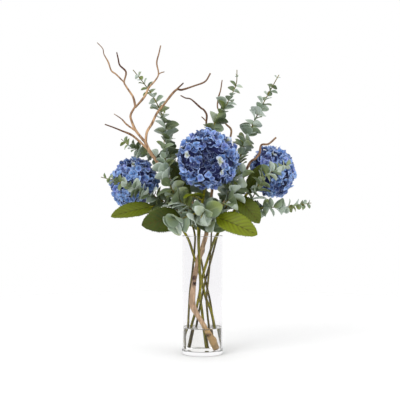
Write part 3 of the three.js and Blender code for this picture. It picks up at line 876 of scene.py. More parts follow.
def level_ring(radius: float, height: float, sides: int) -> Array:
    """Points of a level ring about Z.

    Args:
        radius: Its radius.
        height: Its height.
        sides: Number of points.

    Returns:
        One point a row.
    """
    turns = around(sides)
    return np.column_stack([radius * np.cos(turns), radius * np.sin(turns), np.full(sides, height)])


def add_sheet(surface: Surface, upper: Array, through: Array, t: Array, side: Array, tone: float) -> None:
    """Adds a thin closed sheet.

    Args:
        surface: What it is added to.
        upper: Grid of points of the upper face.
        through: The way up through the sheet, as long as it is thick.
        t: Grid of places along it.
        side: Grid of places across it.
        tone: Its tone.
    """
    rows, columns = t.shape
    count = rows * columns
    top = grid_faces(rows, columns)
    bottom = [[corner + count for corner in reversed(face)] for face in top]
    rim = (
        list(range(columns))
        + [row * columns + columns - 1 for row in range(1, rows)]
        + [count - 1 - column for column in range(1, columns)]
        + [row * columns for row in range(rows - 2, 0, -1)]
    )
    wall = [[b, a, a + count, b + count] for a, b in zip(rim, rim[1:] + rim[:1])]
    points = np.concatenate([upper.reshape(-1, 3), (upper - through).reshape(-1, 3)])
    places = np.column_stack([t.ravel(), side.ravel(), np.full(count, tone)])
    surface.add(points, np.concatenate([places, places]), top + bottom + wall)


def add_tube(
    surface: Surface,
    route: Route,
    radii: Sequence[float],
    slot: int = 0,
    sides: int = 10,
    step: float = 4.0,
    bark: Bark | None = None,
) -> None:
    """Adds a round stem with closed ends.

    Args:
        surface: What it is added to.
        route: The stem's curve.
        radii: Radii spread evenly along it.
        slot: The material slot.
        sides: Points round it.
        step: Length between rings.
        bark: Lumps and dark places of a woody stem.
    """
    rows = max(3, math.ceil(route.length / step))
    turns = around(sides)
    points, places = [], []
    for row in range(rows + 1):
        u = row / rows
        normal = route.across(u, 0)
        binormal = np.cross(route.tangent(u), normal)
        outward = np.cos(turns)[:, None] * normal + np.sin(turns)[:, None] * binormal
        swell, dark = bark.ring(u, u * route.length, turns, outward) if bark else (1.0, np.zeros(sides))
        points.append(route.point(u) + (along(radii, u) * swell * np.ones(sides))[:, None] * outward)
        places.append(np.column_stack([np.full(sides, u), turns / np.pi - 1, dark]))
    for end in (0, 1):
        outwards = (2 * end - 1) * END_BULGE * along(radii, end)
        points.append((route.point(end) + outwards * route.tangent(end))[None])
        places.append(np.array([[float(end), 0, bark.tip if bark and end else 0]]))
    surface.add(np.concatenate(points), np.concatenate(places), closed_faces(rows + 1, sides), slot)


# Finishes


class Shader:
    """A node material with a Principled surface, and short ways to wire it."""

    def __init__(self, name: str) -> None:
        """Makes the material and finds its surface node.

        Args:
            name: The material's name.
        """
        self.material = bpy.data.materials.new(name)
        self.material.use_nodes = True
        self.tree = self.material.node_tree
        self.surface = self.tree.nodes["Principled BSDF"]

    def node(self, kind: str, **inputs: Value) -> bpy.types.Node:
        """Adds a node and sets or wires its inputs.

        Args:
            kind: The node's type.
            **inputs: Values or sockets, by the input's name with _ for a space.

        Returns:
            The node.
        """
        made = self.tree.nodes.new(kind)
        for name, value in inputs.items():
            self.feed(made.inputs[name.replace("_", " ")], value)
        return made

    def feed(self, socket: Socket, value: Value) -> None:
        """Wires a socket to a socket, or sets its value.

        Args:
            socket: The input.
            value: What it gets.
        """
        if isinstance(value, Socket):
            self.tree.links.new(value, socket)
        else:
            socket.default_value = value

    def math(self, operation: str, *values: Value) -> Socket:
        """Adds a math node.

        Args:
            operation: The operation's name.
            *values: Its values or sockets.

        Returns:
            The result's socket.
        """
        made = self.tree.nodes.new("ShaderNodeMath")
        made.operation = operation
        for socket, value in zip(made.inputs, values):
            self.feed(socket, value)
        return made.outputs[0]

    def plus(self, first: Value, second: Value) -> Socket:
        """The sum of two values."""
        return self.math("ADD", first, second)

    def minus(self, first: Value, second: Value) -> Socket:
        """The first value less the second."""
        return self.math("SUBTRACT", first, second)

    def times(self, first: Value, second: Value) -> Socket:
        """The product of two values."""
        return self.math("MULTIPLY", first, second)

    def clamped(self, value: Value, most: float = 1) -> Socket:
        """A value kept between 0 and a limit."""
        return self.math("MINIMUM", self.math("MAXIMUM", value, 0), most)

    def ramp(self, value: Value, stops: Sequence[tuple[float, Color]]) -> Socket:
        """Adds a colour ramp.

        Args:
            value: What the ramp reads.
            stops: Place and colour of each stop.

        Returns:
            The colour's socket.
        """
        made = self.tree.nodes.new("ShaderNodeValToRGB")
        elements = made.color_ramp.elements
        while len(elements) < len(stops):
            elements.new(0.5)
        for element, (place, color) in zip(elements, stops):
            element.position = place
            element.color = (*color, 1)
        self.feed(made.inputs[0], value)
        return made.outputs[0]

    def rise(self, value: Value, low: float, high: float) -> Socket:
        """A share that rises from 0 at one value to 1 at another."""
        return self.ramp(value, [(low, BLACK), (high, WHITE)])

    def fall(self, value: Value, low: float, high: float) -> Socket:
        """A share that falls from 1 at one value to 0 at another."""
        return self.ramp(value, [(low, WHITE), (high, BLACK)])

    def mix(self, share: Value, first: Value, second: Value) -> Socket:
        """Mixes two colours.

        Args:
            share: How much of the second.
            first: The first colour or socket.
            second: The second colour or socket.

        Returns:
            The colour's socket.
        """
        made = self.tree.nodes.new("ShaderNodeMix")
        made.data_type = "RGBA"
        self.feed(made.inputs["Factor"], share)
        for socket, value in ((made.inputs[6], first), (made.inputs[7], second)):
            self.feed(socket, value if isinstance(value, Socket) else (*value, 1))
        return made.outputs[2]

    def space(self) -> Socket:
        """Coordinates in the object's own space, in metres."""
        return self.node("ShaderNodeTexCoord").outputs["Object"]

    def noise(self, scale: float, detail: float = 3, stretch: Point = (1, 1, 1)) -> Socket:
        """Noise in the object's own space.

        Args:
            scale: Lumps to the metre.
            detail: How many finer layers it has.
            stretch: Scale along each axis.

        Returns:
            The noise's socket.
        """
        mapped = self.node("ShaderNodeMapping", Vector=self.space(), Scale=stretch).outputs[0]
        return self.node("ShaderNodeTexNoise", Vector=mapped, Scale=scale, Detail=detail).outputs[0]

    def place(self) -> tuple[Socket, ...]:
        """Reads each point's place.

        Returns:
            The sockets of how far along, how far across, and the tone.
        """
        read = self.tree.nodes.new("ShaderNodeAttribute")
        read.attribute_name = "place"
        split = self.node("ShaderNodeSeparateXYZ", Vector=read.outputs["Vector"])
        return tuple(split.outputs)

    def bump(self, height: Socket, distance: float, strength: float) -> None:
        """Gives the surface a bump."""
        made = self.node("ShaderNodeBump", Height=height, Distance=distance, Strength=strength)
        self.feed(self.surface.inputs["Normal"], made.outputs[0])

    def sets(self, **inputs: Value) -> None:
        """Sets or wires the surface's inputs, by name with _ for a space."""
        for name, value in inputs.items():
            self.feed(self.surface.inputs[name.replace("_", " ")], value)


@dataclass(frozen=True)
class PetalFinish:
    """Blue sepals with painted shade where they meet at the floret's heart, paler at the rim, with a few
    that have faded to cream.
    """

    # deep is the colour of the painted shade at the sepals' feet, on the dark core and on florets darkened
    # for lying low, and of the darkest blue florets
    deep: Color = (0.01, 0.015, 0.085)
    middle: Color = (0.08, 0.17, 0.47)
    pale: Color = (0.27, 0.44, 0.82)
    rim: Color = (0.55, 0.67, 0.96)
    sky: Color = (0.08, 0.25, 0.56)
    violet: Color = (0.16, 0.15, 0.53)
    green: Color = (0.3, 0.34, 0.09)
    cream: Color = (0.5, 0.52, 0.45)

    def material(self) -> bpy.types.Material:
        """Makes the material.

        Returns:
            The material.
        """
        shader = Shader("petals")
        t, side, tone = shader.place()
        mottle = shader.noise(110)
        # a floret's tone already holds its painted shade for lying low or in the hollow
        mixed = shader.plus(shader.times(tone, 0.85), shader.times(mottle, 0.2))
        body = shader.ramp(mixed, [(0.1, self.deep), (0.5, self.middle), (0.9, self.pale)])
        drift = shader.noise(38, 1)
        share = shader.times(mixed, 0.75)
        body = shader.mix(shader.times(shader.fall(drift, 0.36, 0.5), share), body, self.sky)
        body = shader.mix(shader.times(shader.rise(drift, 0.52, 0.66), share), body, self.violet)
        edge = shader.math("MAXIMUM", t, shader.math("ABSOLUTE", side))
        rim = shader.times(shader.math("POWER", edge, 5), shader.plus(0.15, mixed))
        color = shader.mix(shader.math("MINIMUM", rim, 1), body, self.rim)
        # painted shade: each sepal is darkened from its foot to about half way out, where the sepals meet
        throat_shade = shader.minus(1, shader.times(t, 1.9))
        throat_shade = shader.times(shader.math("MAXIMUM", throat_shade, 0), 0.85)
        color = shader.mix(throat_shade, color, self.deep)
        faded = shader.times(shader.math("GREATER_THAN", tone, (PALEST + FADED) / 2), 0.9)
        aged = shader.ramp(t, [(0.15, self.green), (0.5, self.cream), (1, self.rim)])
        color = shader.mix(faded, color, aged)
        shader.bump(shader.math("SINE", shader.times(side, 16)), 0.00015, 0.5)
        shader.sets(Base_Color=color, Roughness=0.66, Sheen_Weight=0.12, Sheen_Roughness=0.5)
        shader.sets(Specular_IOR_Level=0.2)
        return shader.material


@dataclass(frozen=True)
class EucalyptusFinish:
    """Waxy grey-green leaves, from dark green to bluish white, with a pale rib; the dark green stands in
    for leaves in shade, and the bluish white is partly a painted sheen.
    """

    # dark: painted shade, the colour of leaves in shadow
    dark: Color = (0.03, 0.052, 0.015)
    sage: Color = (0.135, 0.185, 0.09)
    grey: Color = (0.25, 0.325, 0.24)
    # the waxy coat's bluish white together with a painted sheen
    bloom_and_sheen: Color = (0.5, 0.575, 0.52)
    young: Color = (0.22, 0.27, 0.05)
    rib: Color = (0.36, 0.37, 0.2)

    def material(self) -> bpy.types.Material:
        """Makes the material.

        Returns:
            The material.
        """
        shader = Shader("eucalyptus_leaves")
        t, side, tone = shader.place()
        mottle = shader.noise(60)
        across = shader.math("ABSOLUTE", side)
        margin = shader.times(shader.math("POWER", shader.math("MAXIMUM", t, across), 9), 0.22)
        # each leaf's tone, drawn at random, puts it in painted shade, in its own greys or under a painted
        # sheen
        mixed = shader.plus(shader.times(tone, 0.85), shader.times(mottle, 0.32))
        mixed = shader.plus(mixed, margin)
        stops = [(0.14, self.dark), (0.44, self.sage), (0.74, self.grey), (1.0, self.bloom_and_sheen)]
        body = shader.ramp(mixed, stops)
        fresh = shader.rise(shader.noise(24, 1), 0.5, 0.66)
        body = shader.mix(shader.times(fresh, 0.7), body, self.young)
        rib = shader.times(shader.math("LESS_THAN", across, 0.07), shader.minus(1, t))
        color = shader.mix(shader.times(rib, 0.6), body, self.rib)
        vein = shader.minus(shader.times(t, 26), shader.times(across, 9))
        vein = shader.math("POWER", shader.math("ABSOLUTE", shader.math("SINE", vein)), 0.35)
        color = shader.mix(shader.times(shader.minus(1, vein), 0.25), color, self.rib)
        rough = shader.plus(0.42, shader.times(mottle, 0.25))
        shader.bump(vein, 0.0002, 0.5)
        shader.sets(Base_Color=color, Roughness=rough, Sheen_Weight=0.08, Specular_IOR_Level=0.35)
        return shader.material


@dataclass(frozen=True)
class FlowerLeafFinish:
    """Hydrangea leaves: olive to yellow green, puckered between a net of veins, with painted shade in the
    valleys beside the side veins and dark painted shade along the veins.
    """

    olive: Color = (0.014, 0.035, 0.004)
    bright: Color = (0.17, 0.215, 0.004)
    # brown is painted shade in the valleys, vein is painted shade in the creases of the veins
    brown: Color = (0.075, 0.06, 0.002)
    vein: Color = (0.085, 0.06, 0.004)

    def material(self) -> bpy.types.Material:
        """Makes the material.

        Returns:
            The material.
        """
        shader = Shader("hydrangea_leaves")
        t, side, tone = shader.place()
        mottle = shader.noise(45, 4)
        mixed = shader.plus(shader.times(tone, 0.8), shader.times(mottle, 0.35))
        body = shader.ramp(mixed, [(0.1, self.olive), (0.95, self.bright)])
        across = shader.math("ABSOLUTE", side)
        slant = shader.minus(t, shader.times(across, VEIN_SLANT))
        pinnate = shader.math("ABSOLUTE", shader.math("SINE", shader.times(slant, VEINS * math.pi)))
        # painted shade in the valleys beside the side veins, fading towards the margin
        valley = shader.minus(1, shader.math("POWER", pinnate, 0.7))
        inner = shader.minus(1, shader.times(across, 0.75))
        shade = shader.times(shader.times(valley, inner), 0.6)
        body = shader.mix(shade, body, self.brown)
        # the veins, the rib and a fine net are painted dark, as shade in their creases
        line = shader.minus(1, shader.math("POWER", pinnate, 0.18))
        rib = shader.math("LESS_THAN", across, 0.035)
        lines = shader.math("MAXIMUM", shader.times(line, 0.7), rib)
        net = shader.node("ShaderNodeTexVoronoi", Scale=330.0, Vector=shader.space())
        net.feature = "DISTANCE_TO_EDGE"
        mesh = shader.math("LESS_THAN", net.outputs[0], 0.05)
        lines = shader.math("MAXIMUM", lines, shader.times(mesh, 0.22))
        color = shader.mix(shader.times(lines, 0.6), body, self.vein)
        shader.bump(shader.minus(1, lines), 0.0003, 0.6)
        rough = shader.plus(0.36, shader.times(mottle, 0.2))
        shader.sets(Base_Color=color, Roughness=rough, Specular_IOR_Level=0.25)
        return shader.material


@dataclass(frozen=True)
class StemFinish:
    """Stems: two colours mottled along their length."""

    name: str
    light: Color
    dark: Color

    def material(self) -> bpy.types.Material:
        """Makes the material.

        Returns:
            The material.
        """
        shader = Shader(self.name)
        streak = shader.noise(160, 4, (1, 1, 0.15))
        color = shader.ramp(streak, [(0.35, self.dark), (0.65, self.light)])
        shader.sets(Base_Color=color, Roughness=0.6, Specular_IOR_Level=0.25)
        shader.bump(streak, 0.0003, 0.6)
        return shader.material


@dataclass(frozen=True)
class WoodFinish:
    """Bare wood: tan with long brown streaks, paler low down, partly its own colour and partly painted
    light that stands in for the light the glass and water hold back, dark at scars and towards the tips.
    """

    tan: Color = (0.6, 0.385, 0.22)
    brown: Color = (0.12, 0.062, 0.036)
    # paler wood low down and warmer under the water: partly the wood's own colour, partly painted light for
    # the light that the glass and water hold back
    peeled_and_lit: Color = (0.93, 0.63, 0.4)
    wet: Color = (1.0, 0.65, 0.28)
    scar: Color = (0.075, 0.028, 0.014)
    peeled_and_lit_height: float = 0.33
    wet_and_lit_height: float = 0.085

    def material(self) -> bpy.types.Material:
        """Makes the material.

        Returns:
            The material.
        """
        shader = Shader("bark")
        dark = shader.place()[2]
        streak = shader.noise(230, 5, (1, 1, 0.12))
        patch = shader.noise(28, 3)
        height = shader.node("ShaderNodeSeparateXYZ", Vector=shader.space()).outputs["Z"]
        # painted light in part: paler, warmer and with fewer streaks inside the vase and under the water
        low = shader.clamped(shader.times(shader.minus(self.peeled_and_lit_height, height), 9), 0.85)
        light = shader.mix(low, self.tan, self.peeled_and_lit)
        soaked_and_lit = shader.clamped(shader.times(shader.minus(self.wet_and_lit_height, height), 40))
        light = shader.mix(soaked_and_lit, light, self.wet)
        grain = shader.math("MAXIMUM", shader.rise(streak, 0.3, 0.6), shader.times(low, 0.75))
        grain = shader.math("MAXIMUM", grain, soaked_and_lit)
        body = shader.mix(grain, self.brown, light)
        shade = shader.times(shader.minus(patch, 0.5), 2.5)
        body = shader.mix(shader.clamped(shade, 0.6), body, self.brown)
        shader.sets(Base_Color=shader.mix(dark, body, self.scar), Roughness=0.8, Specular_IOR_Level=0.25)
        shader.bump(streak, 0.0012, 0.8)
        return shader.material


@dataclass(frozen=True)
class ClearFinish:
    """Glass or water: clear right through."""

    name: str
    color: Color
    ior: float
    mirror: float = 0.35

    def material(self) -> bpy.types.Material:
        """Makes the material.

        Returns:
            The material.
        """
        shader = Shader(self.name)
        shader.sets(Base_Color=(*self.color, 1), Roughness=0.0, IOR=self.ior, Transmission_Weight=1.0)
        shader.sets(Specular_Tint=(self.mirror, self.mirror, self.mirror, 1))
        return shader.material


class Finish(Enum):
    """The finishes, each made once."""

    PETAL = PetalFinish()
    EUCALYPTUS = EucalyptusFinish()
    FLOWER_LEAF = FlowerLeafFinish()
    FLOWER_STEM = StemFinish("hydrangea_stalks", (0.4, 0.345, 0.01), (0.13, 0.13, 0.006))
    SHOOT = StemFinish("eucalyptus_stalks", (0.23, 0.19, 0.02), (0.07, 0.05, 0.01))
    BEAD = StemFinish("floret_hearts", (0.45, 0.5, 0.75), (0.25, 0.3, 0.55))
    WOOD = WoodFinish()
    GLASS = ClearFinish("clear_glass", (0.955, 0.95, 0.96), 1.46)
    WATER = ClearFinish("water", (0.985, 0.985, 0.95), 1.333)

    @cache
    def material(self) -> bpy.types.Material:
        """The finish's material, made at its first use."""
        return self.value.material()


# Sub-assemblies


@dataclass
class Vase:
    """The glass cylinder and the water in it."""

    plan: VasePlan = VASE
    sides: int = 160
    foot_corner: float = 2.0
    floor_corner: float = 4.0
    corner_points: int = 7
    meniscus: float = 1.6
    film: float = 0.02  # between the water and the glass
    support: float = 0.4  # from a rounded corner to the ring that keeps its shading tight

    def lathed(self, name: str, outline: Sequence[Corner], finish: Finish) -> bpy.types.Object:
        """Turns an outline about Z.

        Args:
            name: The piece's name.
            outline: Radii and heights from the axis out and back to the axis.
            finish: Its finish.

        Returns:
            The piece.
        """
        surface = Surface()
        rings = [level_ring(radius, height, self.sides) for radius, height in outline[1:-1]]
        middles = np.array([[0, 0, outline[0][1]], [0, 0, outline[-1][1]]], dtype=float)
        points = np.concatenate([*rings, middles])
        surface.add(points, np.zeros((len(points), 3)), closed_faces(len(rings), self.sides))
        return surface.piece(name, [finish.material()])

    def corner(self, center: Corner, radius: float, start: float, end: float) -> list[Corner]:
        """A rounded corner of an outline.

        Args:
            center: The arc's centre.
            radius: Its radius.
            start: First angle in degrees.
            end: Last angle in degrees.

        Returns:
            Its points.
        """
        angles = np.radians(np.linspace(start, end, self.corner_points))
        return [(center[0] + radius * math.cos(a), center[1] + radius * math.sin(a)) for a in angles]

    def glass_outline(self) -> list[Corner]:
        """The glass from the middle of its foot, up its outside and back down to the middle of its floor.

        Returns:
            Radii and heights.
        """
        plan, foot, floor = self.plan, self.foot_corner, self.floor_corner
        inner = plan.radius - plan.wall
        shoulder = plan.height - plan.rim - self.support
        return [
            (0.0, 0.0),
            (plan.radius - foot - self.support, 0.0),
            *self.corner((plan.radius - foot, foot), foot, -90, 0),
            (plan.radius, foot + self.support),
            (plan.radius, shoulder),
            *self.corner((plan.radius - plan.wall / 2, plan.height - plan.rim), plan.wall / 2, 0, 180),
            (inner, shoulder),
            (inner, plan.floor + floor + self.support),
            *self.corner((inner - floor, plan.floor + floor), floor, 0, -90),
            (inner - floor - self.support, plan.floor),
            (0.0, plan.floor),
        ]

    def water_outline(self) -> list[Corner]:
        """The water from the middle of its foot, up the glass and back to the middle of its level.

        Returns:
            Radii and heights.
        """
        plan, floor = self.plan, self.floor_corner
        wet = plan.radius - plan.wall - self.film
        foot = plan.floor + self.film
        level, rise = plan.water_level, self.meniscus
        return [
            (0.0, foot),
            (wet - floor - self.support, foot),
            *reversed(self.corner((wet - floor, foot + floor), floor, 0, -90)),
            (wet, foot + floor + self.support),
            (wet, level + rise - self.support),
            *((wet - rise * (1 - s), level + rise * s**3) for s in (1, 0.8, 0.55, 0.25)),
            (wet - 3 * rise, level),
            (0.0, level),
        ]

    def build(self) -> None:
        """Builds the glass and the water."""
        hold(self.lathed("vase_glass", self.glass_outline(), Finish.GLASS), "vase")
        hold(self.lathed("vase_water", self.water_outline(), Finish.WATER), "water")
        log.info("vase and water built")


@dataclass
class Branch:
    """The bare crooked branch."""

    sides: int = 14
    step: float = 3.0
    stouter: float = 1.1
    scars: tuple[Scar, ...] = (
        Scar(43, (-0.6, -1.0, 0.2), 7.0),
        Scar(190, (-0.3, -1.0, 0.0), 9.0),
        Scar(177, (0.6, -1.0, 0.0), 6.0),
        Scar(132, (-0.6, 0.9, 0.0), 6.0),
        Scar(262, (1.0, 0.2, 0.0), 6.0),
    )
    fork_scars: tuple[Scar, ...] = (Scar(168, (0.1, -1.0, 0.4), 15.0),)
    forked: int = 1
    dark_tips: tuple[float, ...] = (
        0.15, 0.7, 1.0, 0.3, 0.5, 0.5, 1.0, 0.55, 0.9, 0.6, 0.85, 0.8, 0.6, 0.6,
    )

    def build(self) -> None:
        """Builds the trunk and its limbs as one piece."""
        surface = Surface()
        trunk = Bark(40, 1.0, 0.0, self.scars)
        add_tube(surface, Route(TRUNK.route), TRUNK.radii, sides=20, step=2.5, bark=trunk)
        for number, (limb, tip) in enumerate(zip(LIMBS, self.dark_tips)):
            bark = Bark(41 + number, 0.75, tip, self.fork_scars if number == self.forked else ())
            radii = [radius * self.stouter for radius in limb.radii]
            add_tube(surface, Route(limb.route), radii, sides=self.sides, step=self.step, bark=bark)
        piece = surface.piece("crooked_branch", [Finish.WOOD.material()])
        hold(piece, "branch")
        log.info("branch built")


@dataclass
class FlowerHead:
    """A mop head of four-sepalled florets round a dark core, which stands in for the shade inside the head.
    """

    name: str
    plan: HeadPlan
    sepal: float = 12.5
    rows: int = 6
    columns: int = 5
    thickness: float = 0.3
    bead: float = 1.2  # radius of a floret's bead, and how far it stands out
    overlap: float = 0.5  # how far every other sepal lies above its neighbours
    margin_wave: float = 0.13
    open_angle: float = math.radians(38)
    depth: float = 8.0
    faded_depth: float = 5.0
    under: float = 8.0  # how much deeper one floret in so many lies
    under_each: int = 3
    lobe: float = 2.5
    unruly: float = 0.56  # how far the florets lean at random
    tone_spread: float = 0.3
    unshaded_depth: float = 7.5  # depth to which a floret keeps the head's own tone; below it painted shade darkens it
    painted_depth_shade: float = 0.03  # painted shade: how much darker it is for each millimetre below
    hollow_edge: float = 0.82
    hollow_depth: float = 21.0
    hollow_unruly: float = 0.4
    # painted shade of the florets at the hollow's middle
    painted_hollow_shade: float = 0.6
    # the dark core is a ball painted as the shade inside the head
    shade_core_depth: float = 12.0
    shade_core_sink: float = 1.3  # how far the core sinks under the hollow, beside the florets

    # What is drawn for each floret and each sepal, with angles in radians
    depths: Range = (-3.0, 4.0)
    floret_sizes: Range = (0.85, 1.1)
    sepal_sizes: Range = (0.85, 1.12)
    sepal_widths: Range = (0.85, 1.1)
    sepal_turns: Range = (-0.16, 0.16)
    sepal_tones: Range = (-0.15, 0.15)
    lifts: Range = (0.1, 0.95)
    curls: Range = (-0.45, 0.15)
    cups: Range = (-0.2, 1.2)

    surface: Surface = field(default_factory=Surface)

    # Half widths of a sepal, in its lengths, at even places from its foot to its tip
    SEPAL = (0.1, 0.29, 0.48, 0.5, 0.36, 0.04)

    def __post_init__(self) -> None:
        """Starts the head's random draws."""
        self.draws = np.random.default_rng(self.plan.seed)

    def drawn(self, span: Range) -> float:
        """The next even draw from a range."""
        return float(self.draws.uniform(*span))

    def directions(self, count: int) -> Array:
        """Directions spread evenly over the head, leaving its underside open.

        Args:
            count: How many.

        Returns:
            One unit vector a row.
        """
        kept = (1 + math.cos(self.open_angle)) / 2
        place = np.arange(count)
        height = 1 - 2 * kept * (place + 0.5) / count
        ring = np.sqrt(1 - height**2)
        angle = place * np.pi * (3 - math.sqrt(5))
        found = np.column_stack([ring * np.cos(angle), ring * np.sin(angle), height])
        turn = Vector((0, 0, 1)).rotation_difference(Vector(self.plan.axis)).to_matrix()
        return found @ np.array(turn).T

    def hollow_share(self, direction: Array) -> float:
        """How deep in the head's dark hollow a direction lies.

        Args:
            direction: A unit vector from the head's middle.

        Returns:
            From 0 at the hollow's edge or outside to 1 at its middle.
        """
        if self.plan.hollow is None:
            return 0.0
        near = float(np.dot(direction, unit(np.array(self.plan.hollow, float))))
        return max(0.0, (near - self.hollow_edge) / (1 - self.hollow_edge)) ** 0.75

    def faded(self, found: Array) -> set[int]:
        """The numbers of the florets that have turned cream, each the nearest one to a place."""
        return {int(np.argmax(found @ unit(np.array(spot, float)))) for spot in self.plan.faded}

    def add_sepal(self, axes: Sequence[Array], size: float, tone: float) -> None:
        """Adds one cupped sepal with a wavy margin.

        Args:
            axes: The floret's heart, the sepal's direction, the direction across it and the way it faces.
            size: The sepal's length.
            tone: Its tone.
        """
        heart, rib, across, outward = axes
        along_rib = np.linspace(0, 1, self.rows)
        half = np.interp(along_rib, np.linspace(0, 1, len(self.SEPAL)), self.SEPAL)
        half = half * self.drawn(self.sepal_widths)
        t, s = np.meshgrid(along_rib, np.linspace(-1, 1, self.columns), indexing="ij")
        widths = np.repeat(half[:, None], self.columns, axis=1)
        lift, curl, cup = self.drawn(self.lifts), self.drawn(self.curls), self.drawn(self.cups)
        wave = self.margin_wave * np.sin(4 * s + 5 * t + self.drawn(PHASES)) * t
        rise = math.sin(lift) * t + curl * t**2 + cup * (widths * s) ** 2 + wave
        upper = (
            heart
            + (size * t * math.cos(lift))[..., None] * rib
            + (size * widths * s)[..., None] * across
            + (size * rise)[..., None] * outward
        )
        add_sheet(self.surface, upper, self.thickness * outward, t, s, tone)

    def sepal_tone(self, tone: float) -> float:
        """A sepal's tone.

        Args:
            tone: Its floret's.

        Returns:
            A tone near it, or the same for a faded floret.
        """
        if tone == FADED:
            return tone
        return min(max(tone + self.drawn(self.sepal_tones), 0), PALEST)

    def add_floret(self, heart: Array, outward: Array, size: float, tone: float) -> None:
        """Adds one floret.

        Args:
            heart: The floret's heart.
            outward: The way that it faces.
            size: Length of a sepal.
            tone: Its tone.
        """
        start = unit(np.cross(outward, self.draws.normal(size=3)))
        for petal in range(4):
            rib = turned(start, outward, petal * np.pi / 2 + self.drawn(self.sepal_turns))
            sepal_tone = self.sepal_tone(tone)
            raised = heart + (self.overlap * (petal % 2)) * outward
            axes = (raised, rib, np.cross(outward, rib), outward)
            self.add_sepal(axes, size * self.drawn(self.sepal_sizes), sepal_tone)
        ball, faces = self.unit_ball(rows=3, sides=6)
        self.surface.add(heart + self.bead * outward + self.bead * ball, np.zeros(ball.shape), faces, 1)

    @staticmethod
    def unit_ball(rows: int, sides: int) -> tuple[Array, list[list[int]]]:
        """A ball of radius 1.

        Args:
            rows: Rings from pole to pole.
            sides: Points round it.

        Returns:
            Its points, one a row, and its faces.
        """
        polar = np.linspace(0, np.pi, rows + 2)[1:-1]
        p, a = np.meshgrid(polar, around(sides), indexing="ij")
        shell = np.stack([np.sin(p) * np.cos(a), np.sin(p) * np.sin(a), -np.cos(p)], axis=-1)
        return np.concatenate([shell.reshape(-1, 3), [[0, 0, -1], [0, 0, 1]]]), closed_faces(rows, sides)

    def add_shade_core(self) -> None:
        """Adds the dark core, painted shade that fills the gaps among the florets, which sinks under the
        hollow.
        """
        ball, faces = self.unit_ball(rows=24, sides=36)
        sunk = np.array([self.hollow_share(direction) for direction in ball])
        depth = self.shade_core_depth + self.shade_core_sink * self.hollow_depth * sunk
        reach = np.array(self.plan.radii, float) - depth[:, None]
        # its places are all 0, which gives it the darkest painted shade of the petal finish
        self.surface.add(np.array(self.plan.center, float) + ball * reach, np.zeros(ball.shape), faces)

    def grow_floret(self, number: int, direction: Array, faded: bool) -> None:
        """Draws one floret's depth, lean, tone and size, and adds it, with painted shade that darkens it
        where it lies low or in the hollow.

        Args:
            number: Its number on the head.
            direction: A unit vector to it from the head's middle.
            faded: Whether it has turned cream.
        """
        plan, draws = self.plan, self.draws
        radii = np.array(plan.radii, float)
        hollow = self.hollow_share(direction)
        lobes = math.sin(5 * direction[0] + 2) * math.sin(4 * direction[1] + 6 * direction[2])
        depth = self.depth + self.lobe * lobes + self.drawn(self.depths)
        depth += 0 if (number + 1) % self.under_each else self.under
        depth = self.faded_depth if faded else depth + self.hollow_depth * hollow
        unruly = self.unruly + self.hollow_unruly * min(hollow * 3, 1)
        lean = unit(unit(direction / radii) + unruly * draws.normal(size=3))
        # painted shade: a floret is darker the lower it lies and the nearer the hollow's middle
        painted_shade = self.painted_depth_shade * (depth - self.unshaded_depth) + self.painted_hollow_shade * hollow
        tone = float(np.clip(draws.normal(plan.tone, self.tone_spread) - painted_shade, 0, PALEST))
        tone = FADED if faded else tone
        size = self.sepal * self.drawn(self.floret_sizes)
        self.add_floret(np.array(plan.center, float) + direction * (radii - depth), lean, size, tone)

    def build(self) -> None:
        """Builds the head."""
        self.add_shade_core()
        found = self.directions(self.plan.florets)
        faded = self.faded(found)
        for number, direction in enumerate(found):
            self.grow_floret(number, direction, number in faded)
        materials = [Finish.PETAL.material(), Finish.BEAD.material()]
        piece = self.surface.piece(self.name.replace("hydrangea_head", "mop_head"), materials)
        hold(piece, self.name)
        log.info("%s built with %d florets", self.name, self.plan.florets)


